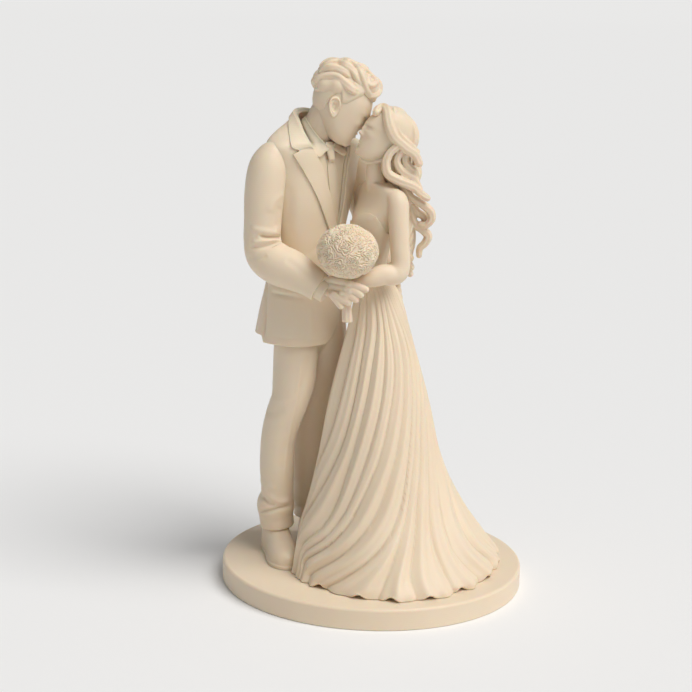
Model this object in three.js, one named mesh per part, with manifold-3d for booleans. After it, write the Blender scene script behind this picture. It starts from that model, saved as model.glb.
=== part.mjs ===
// A wedding cake topper: a groom and a bride with a bouquet, standing on a round base.
// It is cast as separate pieces, split where the garments end, and glued with a thin seam between them.
// Millimetres, +Z up. The origin is the centre of the base's underside; the viewer stands on the -Y side.

import * as THREE from "three";
import { mergeVertices } from "three/addons/utils/BufferGeometryUtils.js";
import Module from "manifold-3d";

const wasm = await Module();
wasm.setup();

// Driving dimensions
const FIGURE_HEIGHT = 160; // the groom, from the top of the base to the top of his hair
const BASE_RADIUS = 48.5;
const BASE_THICKNESS = 6.8;
const BASE_TOP_FILLET = 0.9;
const BASE_FOOT_FILLET = 0.5;
const SEAM = 0.3; // the glue gap between two castings
const SHOE_PEG_RADIUS = 1.6; // the pegs that locate the shoes and the gown
const GOWN_PEG_RADIUS = 3.2;
const PEG_DEPTH = 3.2;
const SHOE_LENGTH = 27;
const SHOE_WIDTH = 10.6;
const SHOE_HEIGHT = 11.4;
const SOLE_THICKNESS = 1.2;
const SOLE_EDGE = 0.45; // how far the sole stands out round the shoe
const LAPEL_RISE = 0.8;
const SHIRT_STEP = 1.2; // how far the shirt front lies below the jacket's surface
const FLAP_RISE = 0.5;
const FLAP_LENGTH = 11.5;
const FLAP_DROP = 3.8;
const TIE_THICKNESS = 0.8;
const HAIR_CAP = 1.1; // how thick the hair lies on the skull
const GOWN_WALL = 0.4; // how far the bodice stands out from the skin
const HIDDEN_PLEATS = 11;
const PLEAT_DEPTH = 2.1;
const BOUQUET_RADIUS = 9.2;
const BLOOM_RADIUS = 2.5;
const BLOOM_RISE = 0.9; // how far a bloom stands above the dips between blooms
const BLOOMS = 34;
const STEM_RADIUS = 0.95;
const STEMS = 5;

const UP = new THREE.Vector3(0, 0, 1);
const thousandth = FIGURE_HEIGHT / 1000;
const overrun = FIGURE_HEIGHT / 2; // how far a cut reaches past what it cuts
const weld = 1e-4; // points nearer than this are one

// Tables of places are in thousandths of the figure's height, with z counted from the top of the base.
// A trunk row is x, y, z, half width, reach ahead, reach behind, and the way it faces in degrees.
const jacketShares = [
  [-148, 20, 446, 92, 66, 94, 58],
  [-148, 20, 500, 90, 67, 82, 57],
  [-149, 20, 560, 85, 66, 66, 56],
  [-149, 19, 620, 80, 66, 55, 54],
  [-147, 17, 680, 86, 63, 54, 50],
  [-143, 15, 740, 96, 61, 56, 46],
  [-141, 12, 785, 98, 56, 56, 45],
  [-139, 8, 822, 90, 49, 50, 45],
  [-137, 4, 850, 76, 42, 46, 45],
  [-134, 0, 872, 55, 38, 42, 48],
  [-131, -4, 886, 42, 35, 38, 52],
];
const seatShares = [
  [-148, 20, 415, 66, 40, 44, 58],
  [-148, 20, 440, 76, 48, 58, 58],
  [-148, 20, 500, 76, 47, 58, 57],
  [-149, 20, 550, 70, 42, 50, 55],
];
const bustShares = [
  [-20, -24, 600, 35, 27, 27, -60],
  [-19, -24, 622, 36, 28, 26, -60],
  [-17, -25, 650, 41, 34, 28, -60],
  [-15, -26, 676, 49, 43, 31, -60],
  [-13, -26, 700, 54, 42, 32, -60],
  [-9, -25, 722, 62, 32, 32, -60],
  [-5, -24, 742, 72, 27, 30, -60],
  [-6, -25, 756, 62, 24, 27, -60],
  [-14, -26, 767, 30, 20, 22, -55],
];

// A limb row is x, y, z, half width and half depth.
const rightLegShares = [
  [-163, -8, 470, 43, 46],
  [-163, -12, 430, 44, 47],
  [-166, -15, 366, 42, 46],
  [-173, -17, 327, 37, 44],
  [-185, -13, 290, 36, 42],
  [-195, -6, 243, 34, 42],
  [-197, 2, 180, 34, 42],
  [-195, 8, 130, 31, 38],
  [-196, 10, 100, 38, 43],
  [-195, 12, 80, 31, 38],
  [-194, 12, 58, 34, 41],
];
const leftLegShares = [
  [-120, 56, 470, 45, 52],
  [-118, 58, 430, 45, 51],
  [-124, 62, 366, 42, 47],
  [-129, 66, 327, 37, 44],
  [-129, 71, 290, 36, 42],
  [-130, 76, 243, 34, 42],
  [-130, 81, 180, 34, 42],
  [-130, 85, 130, 31, 38],
  [-130, 87, 100, 37, 42],
  [-129, 88, 80, 31, 38],
  [-129, 88, 58, 34, 41],
];
const rightSleeveShares = [
  [-192, -42, 848, 14, 14],
  [-216, -60, 827, 34, 31],
  [-222, -67, 788, 38, 36],
  [-228, -70, 730, 38, 36],
  [-230, -71, 690, 36, 35],
  [-230, -72, 655, 36, 36],
  [-222, -77, 628, 39, 38],
  [-200, -87, 612, 40, 39],
  [-170, -99, 602, 38, 36],
  [-140, -110, 588, 32, 31],
  [-116, -119, 573, 28, 27],
];
const leftSleeveShares = [
  [-86, 60, 846, 14, 14],
  [-68, 82, 825, 34, 31],
  [-58, 93, 785, 38, 36],
  [-44, 106, 740, 38, 36],
  [-28, 118, 700, 36, 35],
  [-16, 128, 664, 36, 36],
  [-4, 126, 636, 37, 37],
  [6, 112, 612, 35, 35],
  [16, 92, 592, 31, 31],
  [24, 70, 577, 28, 27],
];
const rightCuffShares = [
  [-126, -115, 579, 23, 22],
  [-103, -123, 566, 21, 20],
];
const leftCuffShares = [
  [21, 78, 583, 23, 22],
  [28, 59, 570, 21, 20],
];
const collarShares = [
  [-142, 8, 838, 41, 41],
  [-120, -7, 872, 36, 36],
];
const collarClearShares = [-109, -14, 889, 34, 34]; // the jacket stays open above the collar
const groomNeckShares = [
  [-138, 5, 795, 33, 31],
  [-134, 2, 830, 30, 30],
  [-126, -2, 855, 28, 29],
  [-116, -7, 880, 28, 30],
  [-104, -10, 900, 26, 28],
];
const brideNeckShares = [
  [-16, -27, 756, 27, 20],
  [-18, -28, 775, 18, 17],
  [-18, -28, 800, 16, 16],
  [-13, -29, 820, 17, 17],
  [-4, -30, 842, 18, 18],
];
const brideLeftArmShares = [
  [14, -58, 752, 14, 13],
  [28, -77, 737, 20, 18],
  [30, -84, 700, 20, 18],
  [33, -87, 655, 19, 18],
  [35, -89, 624, 19, 18],
  [27, -93, 600, 23, 20],
  [6, -103, 600, 22, 19],
  [-16, -112, 594, 18, 15],
  [-36, -116, 588, 12, 11],
  [-52, -112, 588, 9, 14],
];
const brideRightArmShares = [
  [-24, 14, 752, 14, 13],
  [-37, 36, 737, 19, 17],
  [-38, 50, 705, 18, 17],
  [-38, 66, 670, 16, 15],
  [-44, 84, 648, 16, 15],
  [-66, 97, 644, 16, 15],
  [-92, 106, 642, 13, 12],
  [-112, 108, 640, 10, 13],
];

// Hands: the palm first, then the fingers, each a limb of its own.
const groomRightHandShares = [
  [
    [-120, -117, 576, 16, 18],
    [-104, -125, 569, 17, 19],
    [-92, -134, 571, 13, 21],
    [-80, -142, 573, 8, 19],
  ],
  [
    [-86, -140, 588, 7, 7],
    [-58, -153, 586, 6.5, 6.5],
    [-30, -144, 575, 5, 5],
  ],
  [
    [-86, -142, 578, 7, 7],
    [-62, -155, 574, 6.5, 6.5],
    [-43, -147, 566, 5, 5],
  ],
  [
    [-88, -141, 569, 7, 7],
    [-68, -154, 563, 6.5, 6.5],
    [-52, -147, 556, 5, 5],
  ],
  [
    [-92, -139, 561, 6, 6],
    [-82, -150, 552, 5.5, 5.5],
    [-75, -145, 544, 4.5, 4.5],
  ],
];
const groomLeftHandShares = [
  [
    [24, 76, 582, 15, 17],
    [28, 56, 570, 14, 17],
    [32, 40, 556, 9, 17],
    [33, 28, 546, 7, 15],
  ],
  [
    [33, 36, 562, 6, 6],
    [36, 20, 557, 6, 6],
    [34, 6, 551, 5, 5],
  ],
  [
    [35, 34, 552, 6, 6],
    [38, 18, 546, 6, 6],
    [36, 4, 540, 5, 5],
  ],
  [
    [36, 32, 542, 6, 6],
    [40, 17, 535, 6, 6],
    [39, 4, 529, 5, 5],
  ],
  [
    [36, 32, 533, 6, 6],
    [42, 20, 526, 5, 5],
    [42, 8, 520, 4, 4],
  ],
];
const brideLeftFingerShares = [
  [
    [-50, -110, 594, 5, 5],
    [-68, -104, 594, 5, 5],
    [-84, -110, 592, 4, 4],
  ],
  [
    [-50, -110, 585, 5, 5],
    [-68, -104, 584, 5, 5],
    [-84, -110, 582, 4, 4],
  ],
];
const brideRightFingerShares = [
  [
    [-110, 108, 648, 5, 5],
    [-126, 104, 650, 5, 5],
    [-142, 96, 650, 4, 4],
  ],
  [
    [-110, 109, 639, 5, 5],
    [-127, 106, 638, 5, 5],
    [-144, 97, 637, 4, 4],
  ],
  [
    [-110, 108, 630, 5, 5],
    [-126, 105, 626, 5, 5],
    [-141, 97, 624, 4, 4],
  ],
];

// A skirt row is the axis x, y and z of a level, and how far it has flared there at the sides and in front.
const skirtShares = [
  [-19, -24, 594, 0.0, 0.0],
  [-14, -25, 575, 0.035, 0.035],
  [-6, -26, 545, 0.085, 0.085],
  [-3, -27, 483, 0.174, 0.174],
  [-2, -28, 412, 0.285, 0.28],
  [0, -30, 331, 0.4, 0.38],
  [3, -32, 227, 0.52, 0.49],
  [10, -34, 144, 0.67, 0.61],
  [20, -36, 82, 0.84, 0.76],
  [32, -37, 40, 0.95, 0.89],
  [40, -38, 14, 1.0, 0.98],
  [40, -38, 2, 1.0, 1.0],
];
const frontShares = [-95, 0.1]; // the bearing of the skirt's front, and the cosine at which it meets the sides
// The hem's reach from its axis at each bearing in degrees.
const hemShares = [
  [-180, 184],
  [-160, 200],
  [-130, 213],
  [-105, 221],
  [-90, 225],
  [-75, 221],
  [-60, 212],
  [-40, 203],
  [-15, 206],
  [15, 222],
  [35, 234],
  [60, 228],
  [90, 212],
  [112, 182],
  [132, 148],
  [148, 126],
  [164, 150],
  [180, 184],
];
const waistShares = [37, 29, -60]; // half width, half depth and bearing
const pleatShares = [-0.62, 0.17, 0.17]; // how far its valley and its crest's edges stand out, over its depth
const pleatEdgeShares = [0, 0.3, 0.7]; // where they lie across it
const pleatDepthShare = 0.28; // its depth over its width
// The valleys of the front pleats: their bearings at the waist and at three levels of the flare below it.
const valleyLevelShares = [0, 0.4, 0.67, 1];
const valleyShares = [
  [-176, -172, -174, -180],
  [-140, -146, -168, -174],
  [-118, -121, -160, -168],
  [-98, -107, -131, -162],
  [-86, -92, -119, -156],
  [-76, -78, -108, -150],
  [-68, -61, -93, -142],
  [-61, -47, -76, -126],
  [-54, -38, -68, -98],
  [-47, -29, -59, -79],
  [-40, -16, -46, -56],
  [-33, -5, -31, -34],
  [-26, 4, -12, -12],
];

const flapShares = [-188, -42, 584, -29]; // its middle and bearing
const bouquetShares = [-66, -138, 648];
const bouquetFlatShare = 0.88; // its height over its width
// A row of the bundle of stems is x, y, z and its half width in stem radii.
const stemShares = [
  [-66, -128, 612, 1.1],
  [-66, -127, 560, 1.35],
  [-62, -130, 513, 2.1],
];
const rightShoeShares = { heel: [-200, 68, 0], toe: [-176, -98, 0] };
const leftShoeShares = { heel: [-130, 142, 0], toe: [-121, -22, 0] };
// A head's middle, its height from chin to crown, and its bearing and nod in degrees.
const groomHeadShares = [-84, -12, 906, 130, 4, 25];
const brideHeadShares = [-3, -30, 853, 110, 196, -28];

// Shapes on the front of the chest: sideways from the jacket's closing line, and height.
const chestShares = [-145, 15, 0, 47]; // the middle it is measured from, and the bearing
const closingShares = [870, 0.1]; // the line's top, and how it drifts to the wearer's left on its way down
const openingShares = [
  [-29, 905],
  [-29, 862],
  [-24, 800],
  [-2, 640],
  [2, 640],
  [24, 800],
  [29, 862],
  [29, 905],
];
const tieShares = [
  [-9, 838],
  [-11, 826],
  [-6, 806],
  [-10, 740],
  [-10, 600],
  [10, 600],
  [10, 740],
  [6, 806],
  [11, 826],
  [9, 838],
];
const lapelShares = [
  [-29, 886],
  [-50, 874],
  [-80, 830],
  [-68, 820],
  [-88, 808],
  [-76, 764],
  [-56, 716],
  [-30, 668],
  [-2, 634],
  [-2, 640],
  [-24, 800],
  [-29, 862],
];
const cutawayShares = [
  [-44, 425],
  [-40, 446],
  [-14, 464],
  [2, 484],
  [6, 550],
  [-1, 618],
  [3, 618],
  [16, 550],
  [24, 484],
  [44, 460],
  [60, 425],
];
const necklineShares = [
  [-90, 560],
  [-90, 712],
  [-60, 716],
  [-38, 722],
  [-20, 724],
  [0, 708],
  [20, 724],
  [38, 722],
  [60, 716],
  [90, 712],
  [90, 560],
];

// A shoe from heel to toe: shares of its length, width and height.
const shoeShares = [
  [0.0, 0.26, 0.28],
  [0.05, 0.37, 0.55],
  [0.2, 0.4, 0.92],
  [0.38, 0.4, 1.0],
  [0.52, 0.43, 0.74],
  [0.68, 0.48, 0.54],
  [0.84, 0.45, 0.45],
  [0.95, 0.32, 0.36],
  [1.0, 0.14, 0.22],
];
const ankleShare = 0.26; // where the ankle stands on the shoe

// A head from crown to chin, as shares of its height: level, middle, half depth and half width.
const skullShares = [
  [0.5, -0.03, 0.08, 0.07],
  [0.475, -0.03, 0.17, 0.145],
  [0.42, -0.03, 0.28, 0.235],
  [0.32, -0.035, 0.375, 0.3],
  [0.2, -0.035, 0.43, 0.335],
  [0.08, -0.03, 0.44, 0.34],
  [-0.05, -0.02, 0.415, 0.325],
  [-0.15, 0.0, 0.375, 0.305],
  [-0.25, 0.035, 0.32, 0.28],
  [-0.35, 0.09, 0.25, 0.245],
  [-0.43, 0.135, 0.185, 0.195],
  [-0.48, 0.165, 0.13, 0.13],
  [-0.5, 0.185, 0.06, 0.06],
];
// The features of a plain face: bearing in degrees, level, how wide and tall the swelling is, and its rise.
const faceShares = [
  [0, 0.075, 34, 0.03, 0.012],
  [0, -0.06, 8, 0.06, 0.035],
  [0, -0.135, 10, 0.045, 0.06],
  [21, 0.005, 10, 0.035, -0.028],
  [-21, 0.005, 10, 0.035, -0.028],
  [38, -0.1, 13, 0.06, 0.012],
  [-38, -0.1, 13, 0.06, 0.012],
  [0, -0.25, 13, 0.02, 0.024],
  [0, -0.31, 11, 0.02, 0.022],
  [0, -0.355, 14, 0.02, -0.01],
  [0, -0.43, 22, 0.045, 0.024],
];
const frontShare = 0.45; // how strongly a head's points are drawn towards its face
const earShares = [-0.09, 0.345, 0]; // an ear's middle, and below it half its depth, thickness and height
const earHalfShares = [0.08, 0.046, 0.135];
// Where the hair ends on the skull, from the forehead to the nape.
const hairlineShares = {
  groom: { forehead: [0.4, 0.34], nape: [-0.3, -0.32] },
  bride: { forehead: [0.36, 0.42], nape: [0.0, -0.3] },
};

// The groom's curls as shares of his head's height, measured from its middle: x, y, z and radius.
const curlHeapShare = 0.31; // how far the middle of the heap of curls lies above the head's middle
const curlShares = [
  [-0.26, -0.2, 0.34, 0.155],
  [-0.08, -0.26, 0.34, 0.155],
  [0.12, -0.255, 0.26, 0.145],
  [0.285, -0.2, 0.125, 0.125],
  [-0.31, -0.09, 0.445, 0.17],
  [-0.175, -0.125, 0.56, 0.17],
  [0.015, -0.125, 0.57, 0.17],
  [0.225, -0.125, 0.475, 0.17],
  [0.4, -0.11, 0.325, 0.155],
  [0.44, -0.06, 0.155, 0.115],
  [-0.32, 0.06, 0.43, 0.17],
  [-0.185, 0.045, 0.57, 0.17],
  [0.03, 0.06, 0.57, 0.17],
  [0.245, 0.055, 0.49, 0.17],
  [0.42, 0.045, 0.31, 0.17],
  [-0.3, 0.2, 0.4, 0.17],
  [-0.12, 0.23, 0.51, 0.17],
  [0.09, 0.23, 0.49, 0.17],
  [0.3, 0.185, 0.36, 0.17],
  [-0.215, 0.32, 0.3, 0.155],
  [-0.01, 0.34, 0.325, 0.155],
  [0.2, 0.29, 0.21, 0.14],
];

// The bride's locks: the full one down her back first, then the ones that wave over it.
const lockShares = [
  [
    [14, -24, 880, 38, 36],
    [22, -18, 830, 36, 40],
    [28, -12, 785, 30, 40],
    [38, -8, 745, 30, 34],
    [50, -4, 700, 26, 24],
    [56, 0, 660, 10, 12],
  ],
  [
    [0, -56, 900, 9, 8],
    [-1, -62, 873, 13, 10],
    [7, -68, 853, 15, 12],
    [24, -68, 838, 15, 12],
    [42, -62, 827, 14, 12],
    [54, -54, 812, 13, 11],
  ],
  [
    [22, -52, 828, 11, 10],
    [8, -60, 812, 13, 12],
    [5, -66, 794, 15, 13],
    [17, -72, 774, 16, 13],
    [40, -76, 756, 15, 12],
    [56, -70, 744, 14, 12],
    [76, -58, 722, 14, 12],
    [90, -48, 704, 11, 10],
    [84, -42, 688, 7, 7],
  ],
  [
    [36, -50, 838, 13, 12],
    [26, -56, 818, 14, 12],
    [26, -58, 800, 15, 12],
    [42, -56, 784, 15, 12],
    [54, -50, 770, 13, 12],
    [50, -44, 752, 13, 12],
    [66, -38, 744, 13, 11],
    [78, -32, 730, 10, 9],
  ],
  [
    [46, -36, 840, 15, 13],
    [44, -38, 818, 15, 13],
    [50, -36, 800, 15, 13],
    [54, -30, 780, 13, 12],
    [54, -26, 764, 13, 12],
    [72, -22, 744, 15, 12],
    [72, -18, 724, 12, 11],
    [86, -14, 706, 13, 12],
    [80, -10, 688, 11, 10],
  ],
  [
    [42, -4, 850, 16, 14],
    [48, -4, 815, 16, 14],
    [50, 0, 775, 15, 14],
    [60, 4, 740, 15, 13],
    [56, 4, 706, 13, 12],
    [62, 2, 688, 13, 12],
    [78, 0, 670, 12, 11],
    [76, -2, 650, 9, 9],
    [70, -2, 630, 6, 6],
  ],
  [
    [34, 24, 846, 15, 14],
    [40, 30, 812, 15, 13],
    [38, 34, 776, 14, 13],
    [50, 34, 742, 14, 12],
    [46, 32, 708, 13, 12],
    [56, 26, 680, 11, 10],
    [54, 20, 656, 8, 8],
  ],
];

// How square a section is: 1 is round, and less draws its corners out.
const suitCornerShare = 0.86;
const bodyCornerShare = 1;
const shoeCornerShare = 0.8;
const domeShares = [0.5, 0.6]; // the height of a limb's round end, and the width of its top

// Solids from geometry
function solidOf(geometry) {
  const loose = geometry.index ? geometry.toNonIndexed() : geometry.clone();
  const bare = new THREE.BufferGeometry().setAttribute("position", loose.getAttribute("position"));
  const merged = mergeVertices(bare, weld);
  const vertProperties = merged.attributes.position.array;
  const triVerts = new Uint32Array(merged.index.array);
  const made = new wasm.Manifold(new wasm.Mesh({ numProp: 3, vertProperties, triVerts }));
  if (made.volume() > 0) return made;
  for (let i = 0; i < triVerts.length; i += 3) {
    [triVerts[i + 1], triVerts[i + 2]] = [triVerts[i + 2], triVerts[i + 1]];
  }
  return new wasm.Manifold(new wasm.Mesh({ numProp: 3, vertProperties, triVerts }));
}

// What is left of a solid after the cuts: its largest body, without the crumbs.
function cutBy(solid, ...tools) {
  const left = tools.reduce((a, b) => a.subtract(b), solid);
  return left.decompose().reduce((a, b) => (b.volume() > a.volume() ? b : a));
}

const join = (...solids) => solids.reduce((a, b) => a.add(b));

// A skin over closed rings of points, with a flat fan on each end.
function loft(rings) {
  const sides = rings[0].length;
  const points = rings.flat();
  const faces = [];
  for (let i = 0; i + 1 < rings.length; i++) {
    for (let j = 0; j < sides; j++) {
      const next = (j + 1) % sides;
      const [a, b] = [i * sides + j, i * sides + next];
      faces.push(a, b, b + sides, a, b + sides, a + sides);
    }
  }
  [rings[0], rings.at(-1)].forEach((ring, end) => {
    points.push(ring.reduce((sum, p) => sum.add(p), new THREE.Vector3()).divideScalar(sides));
    const first = end * (rings.length - 1) * sides;
    for (let j = 0; j < sides; j++) {
      const [a, b] = [first + j, first + ((j + 1) % sides)];
      faces.push(points.length - 1, end ? a : b, end ? b : a);
    }
  });
  const geometry = new THREE.BufferGeometry();
  geometry.setAttribute("position", new THREE.Float32BufferAttribute(points.flatMap((p) => p.toArray()), 3));
  geometry.setIndex(faces);
  return solidOf(geometry);
}

// Rows between the rows of a table, along a smooth curve through every column.
function smoothRows(rows, count) {
  const at = (i, k) => rows[Math.min(Math.max(i, 0), rows.length - 1)][k];
  return Array.from({ length: count }, (_, n) => {
    const t = (n / (count - 1)) * (rows.length - 1);
    const i = Math.min(Math.floor(t), rows.length - 2);
    const u = t - i;
    return rows[0].map((_, k) => {
      const [p, q, r, s] = [at(i - 1, k), at(i, k), at(i + 1, k), at(i + 2, k)];
      return q + (u * (r - p + u * (2 * p - 5 * q + 4 * r - s + u * (3 * (q - r) + s - p)))) / 2;
    });
  });
}

// A table's place as a point.
function place([x, y, z]) {
  return new THREE.Vector3(x * thousandth, y * thousandth, z * thousandth + BASE_THICKNESS);
}

// For a figure that faces a bearing: the direction from its right hand to its left, and the one ahead of it.
function facing(degrees) {
  const turn = THREE.MathUtils.degToRad(degrees);
  const across = new THREE.Vector3(Math.cos(turn), Math.sin(turn), 0);
  return { across, ahead: new THREE.Vector3().crossVectors(across, UP) };
}

const squared = (v, power) => Math.sign(v) * Math.abs(v) ** power;
const ringAngles = (sides) => Array.from({ length: sides }, (_, j) => (j / sides) * 2 * Math.PI);

// How far a row's ring moves out along the loft when the whole solid grows.
const endShift = (i, rows, grow) => (i === 0 ? -grow : i === rows - 1 ? grow : 0);

// A trunk: level sections with their own width, reach ahead and reach behind. grow moves its surface out.
function trunk(rows, { sides, levels, grow = 0, corners = suitCornerShare }) {
  const fine = smoothRows(rows, levels);
  return loft(
    fine.map(([x, y, z, wide, front, back, bearing], i) => {
      const { across, ahead } = facing(bearing);
      const centre = place([x, y, z]).addScaledVector(UP, endShift(i, levels, grow));
      return ringAngles(sides).map((angle) => {
        const reach = (Math.sin(angle) > 0 ? front : back) * thousandth + grow;
        return centre
          .clone()
          .addScaledVector(across, squared(Math.cos(angle), corners) * (wide * thousandth + grow))
          .addScaledVector(ahead, squared(Math.sin(angle), corners) * reach);
      });
    }),
  );
}

// A limb: a tube along a curve, with a half width and a half depth at each row, and round or flat ends.
function limb(rows, { sides = 8, steps = 6, grow = 0, side = [1, 0, 0], round = [true, true] } = {}) {
  const fine = smoothRows(rows, steps);
  const centres = fine.map(place);
  const rings = [];
  const across = new THREE.Vector3(...side);
  centres.forEach((centre, i) => {
    const [before, after] = [centres[Math.max(i - 1, 0)], centres[Math.min(i + 1, steps - 1)]];
    const along = new THREE.Vector3().subVectors(after, before).normalize();
    across.addScaledVector(along, -across.dot(along)).normalize();
    const over = new THREE.Vector3().crossVectors(along, across);
    const [wide, deep] = [fine[i][3] * thousandth + grow, fine[i][4] * thousandth + grow];
    const ring = (share, shift) =>
      ringAngles(sides).map((angle) =>
        centre
          .clone()
          .addScaledVector(along, shift)
          .addScaledVector(across, Math.cos(angle) * wide * share)
          .addScaledVector(over, Math.sin(angle) * deep * share),
      );
    const dome = Math.min(wide, deep) * domeShares[0];
    const [first, last] = [i === 0, i === steps - 1];
    if (first && round[0]) rings.push(ring(domeShares[1], -dome));
    rings.push(ring(1, round[first ? 0 : 1] ? 0 : endShift(i, steps, grow)));
    if (last && round[1]) rings.push(ring(domeShares[1], dome));
  });
  return loft(rings);
}

// A prism whose outline lies in the upright plane through a point, reaching ahead of it.
function slab(outline, { from, bearing, reach }) {
  const { across, ahead } = facing(bearing);
  const shape = new THREE.Shape(outline.map(([x, z]) => new THREE.Vector2(x, z)));
  const geometry = new THREE.ExtrudeGeometry(shape, { depth: reach, bevelEnabled: false });
  geometry.applyMatrix4(new THREE.Matrix4().makeBasis(across, UP, ahead).setPosition(from));
  return solidOf(geometry);
}

const mirrored = (outline) => outline.map(([x, z]) => [-x, z]).reverse();

function ball(centre, radii, [around, levels]) {
  const geometry = new THREE.SphereGeometry(1, around, levels);
  geometry.rotateX(Math.PI / 2).scale(...radii).translate(...centre.toArray());
  return solidOf(geometry);
}

// An upright peg that is sunk in the piece below a level and reaches into the piece above it.
function peg(middle, { radius, down, up, grow }) {
  const height = down + up + grow;
  const geometry = new THREE.CylinderGeometry(radius + grow, radius + grow, height, 12);
  geometry.rotateX(Math.PI / 2).translate(middle.x, middle.y, middle.z + up - height / 2);
  return solidOf(geometry);
}

// Base
function baseDisc() {
  const profile = new THREE.Path();
  profile.moveTo(0, 0);
  profile.lineTo(BASE_RADIUS - BASE_FOOT_FILLET, 0);
  profile.absarc(BASE_RADIUS - BASE_FOOT_FILLET, BASE_FOOT_FILLET, BASE_FOOT_FILLET, -Math.PI / 2, 0);
  const [rim, shoulder] = [BASE_RADIUS - BASE_TOP_FILLET, BASE_THICKNESS - BASE_TOP_FILLET];
  profile.lineTo(BASE_RADIUS, shoulder);
  profile.absarc(rim, shoulder, BASE_TOP_FILLET, 0, Math.PI / 2);
  profile.lineTo(0, BASE_THICKNESS);
  const geometry = new THREE.LatheGeometry(profile.getPoints(1), 48);
  return solidOf(geometry.rotateX(Math.PI / 2));
}

// Groom
function shoePeg({ heel, toe }, grow = 0) {
  const ankle = place(heel).lerp(place(toe), ankleShare);
  return peg(ankle, { radius: SHOE_PEG_RADIUS, down: PEG_DEPTH, up: SHOE_HEIGHT / 2, grow });
}

// The sole follows the shoe's own outline, with a narrow edge all round.
function shoeSole(stations, { start, along, across, grow }) {
  const edge = SOLE_EDGE + grow;
  const side = stations.map(([t, half]) => [
    t * SHOE_LENGTH + (2 * t - 1) * edge,
    half * SHOE_WIDTH + edge,
  ]);
  const otherSide = side.map(([x, y]) => [x, -y]).reverse();
  const shape = new THREE.Shape([...side, ...otherSide].map(([x, y]) => new THREE.Vector2(x, y)));
  const sole = new THREE.ExtrudeGeometry(shape, { depth: SOLE_THICKNESS + grow, bevelEnabled: false });
  return solidOf(sole.applyMatrix4(new THREE.Matrix4().makeBasis(along, across, UP).setPosition(start)));
}

function shoe({ heel, toe }, grow = 0) {
  const start = place(heel).addScaledVector(UP, SEAM);
  const along = new THREE.Vector3().subVectors(place(toe), place(heel)).normalize();
  const across = new THREE.Vector3().crossVectors(UP, along);
  const stations = smoothRows(shoeShares, 10);
  const upper = loft(
    stations.map(([t, half, high], i) => {
      const reach = t * SHOE_LENGTH + endShift(i, stations.length, grow);
      return ringAngles(10).map((angle) => {
        const lift = Math.sin(angle) > 0 ? Math.sin(angle) * (high * SHOE_HEIGHT + grow) : 0;
        return start
          .clone()
          .addScaledVector(along, reach)
          .addScaledVector(across, squared(Math.cos(angle), shoeCornerShare) * (half * SHOE_WIDTH + grow))
          .addScaledVector(UP, SOLE_THICKNESS / 2 + lift);
      });
    }),
  );
  return join(upper, shoeSole(stations, { start, along, across, grow }), shoePeg({ heel, toe }));
}

function trousers(grow = 0) {
  const side = facing(20).across.toArray();
  const leg = (rows) => limb(rows, { sides: 10, steps: 11, grow, side, round: [true, false] });
  return join(trunk(seatShares, { sides: 16, levels: 3, grow }), leg(rightLegShares), leg(leftLegShares));
}

// A prism through the front of the chest, from the middle of the body forwards.
function chest(shares, grow = 0) {
  const bearing = chestShares[3];
  const from = place(chestShares).setZ(0).addScaledVector(facing(bearing).ahead, -grow);
  const [top, lean] = closingShares;
  const foot = Math.min(...shares.map(([, z]) => z));
  const outline = shares.map(([x, z]) => [
    (x + (top - z) * lean) * thousandth + Math.sign(x) * grow,
    z * thousandth + BASE_THICKNESS - (z === foot ? grow : 0),
  ]);
  return slab(outline, { from, bearing, reach: overrun });
}

function jacketBody(grow = 0) {
  return trunk(jacketShares, { sides: 22, levels: 10, grow });
}

function pocketFlap() {
  const bearing = flapShares[3];
  const middle = place(flapShares);
  const [half, top] = [FLAP_LENGTH / 2, middle.z];
  const outline = [
    [-half, top],
    [-half, top - FLAP_DROP],
    [half, top - FLAP_DROP],
    [half, top],
  ];
  const from = middle.setZ(0).addScaledVector(facing(bearing).ahead, -FLAP_DROP);
  const plate = slab(outline, { from, bearing, reach: 2 * FLAP_DROP });
  return plate.intersect(jacketBody(FLAP_RISE));
}

function lapels(grow = 0) {
  const both = join(chest(lapelShares, grow), chest(mirrored(lapelShares), grow));
  return both.intersect(jacketBody(LAPEL_RISE + grow));
}

function jacket() {
  const closed = join(jacketBody(), lapels(), pocketFlap());
  return closed.subtract(chest(openingShares, SEAM)).subtract(chest(cutawayShares));
}

function shirtFront() {
  return chest(openingShares).intersect(jacketBody(-SHIRT_STEP));
}

function tie() {
  const blade = chest(tieShares).intersect(jacketBody(TIE_THICKNESS - SHIRT_STEP));
  return blade.subtract(jacketBody(SEAM - SHIRT_STEP)).intersect(chest(openingShares));
}

const rightSleeve = () => limb(rightSleeveShares, { sides: 10, steps: 11, round: [true, false] });
const leftSleeve = () => limb(leftSleeveShares, { sides: 9, steps: 9, round: [true, false] });
const cuff = (rows, grow = 0) => limb(rows, { sides: 10, steps: 2, grow, round: [false, false] });
const collar = (grow = 0) => limb(collarShares, { sides: 12, steps: 2, grow, round: [false, false] });
const collarRoom = () => limb([...collarShares, collarClearShares], { sides: 12, steps: 3, grow: SEAM });

function fingers(tables, grow = 0) {
  return join(...tables.map((rows) => limb(rows, { sides: 5, steps: 3, grow })));
}

// Heads: the skull turns to its bearing and nods.
function headFrame(shares) {
  const [bearing, nod] = shares.slice(4).map(THREE.MathUtils.degToRad);
  const turn = new THREE.Matrix4().makeRotationZ(bearing).multiply(new THREE.Matrix4().makeRotationY(nod));
  return turn.setPosition(place(shares));
}

const headHeight = (shares) => shares[3] * thousandth;

// How far a face's swellings rise at a bearing and a level.
function faceRise(face, degrees, level) {
  return face.reduce(
    (sum, [at, z, width, tall, rise]) =>
      sum + rise * Math.exp(-(((degrees - at) / width) ** 2) - ((level - z) / tall) ** 2),
    0,
  );
}

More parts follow.
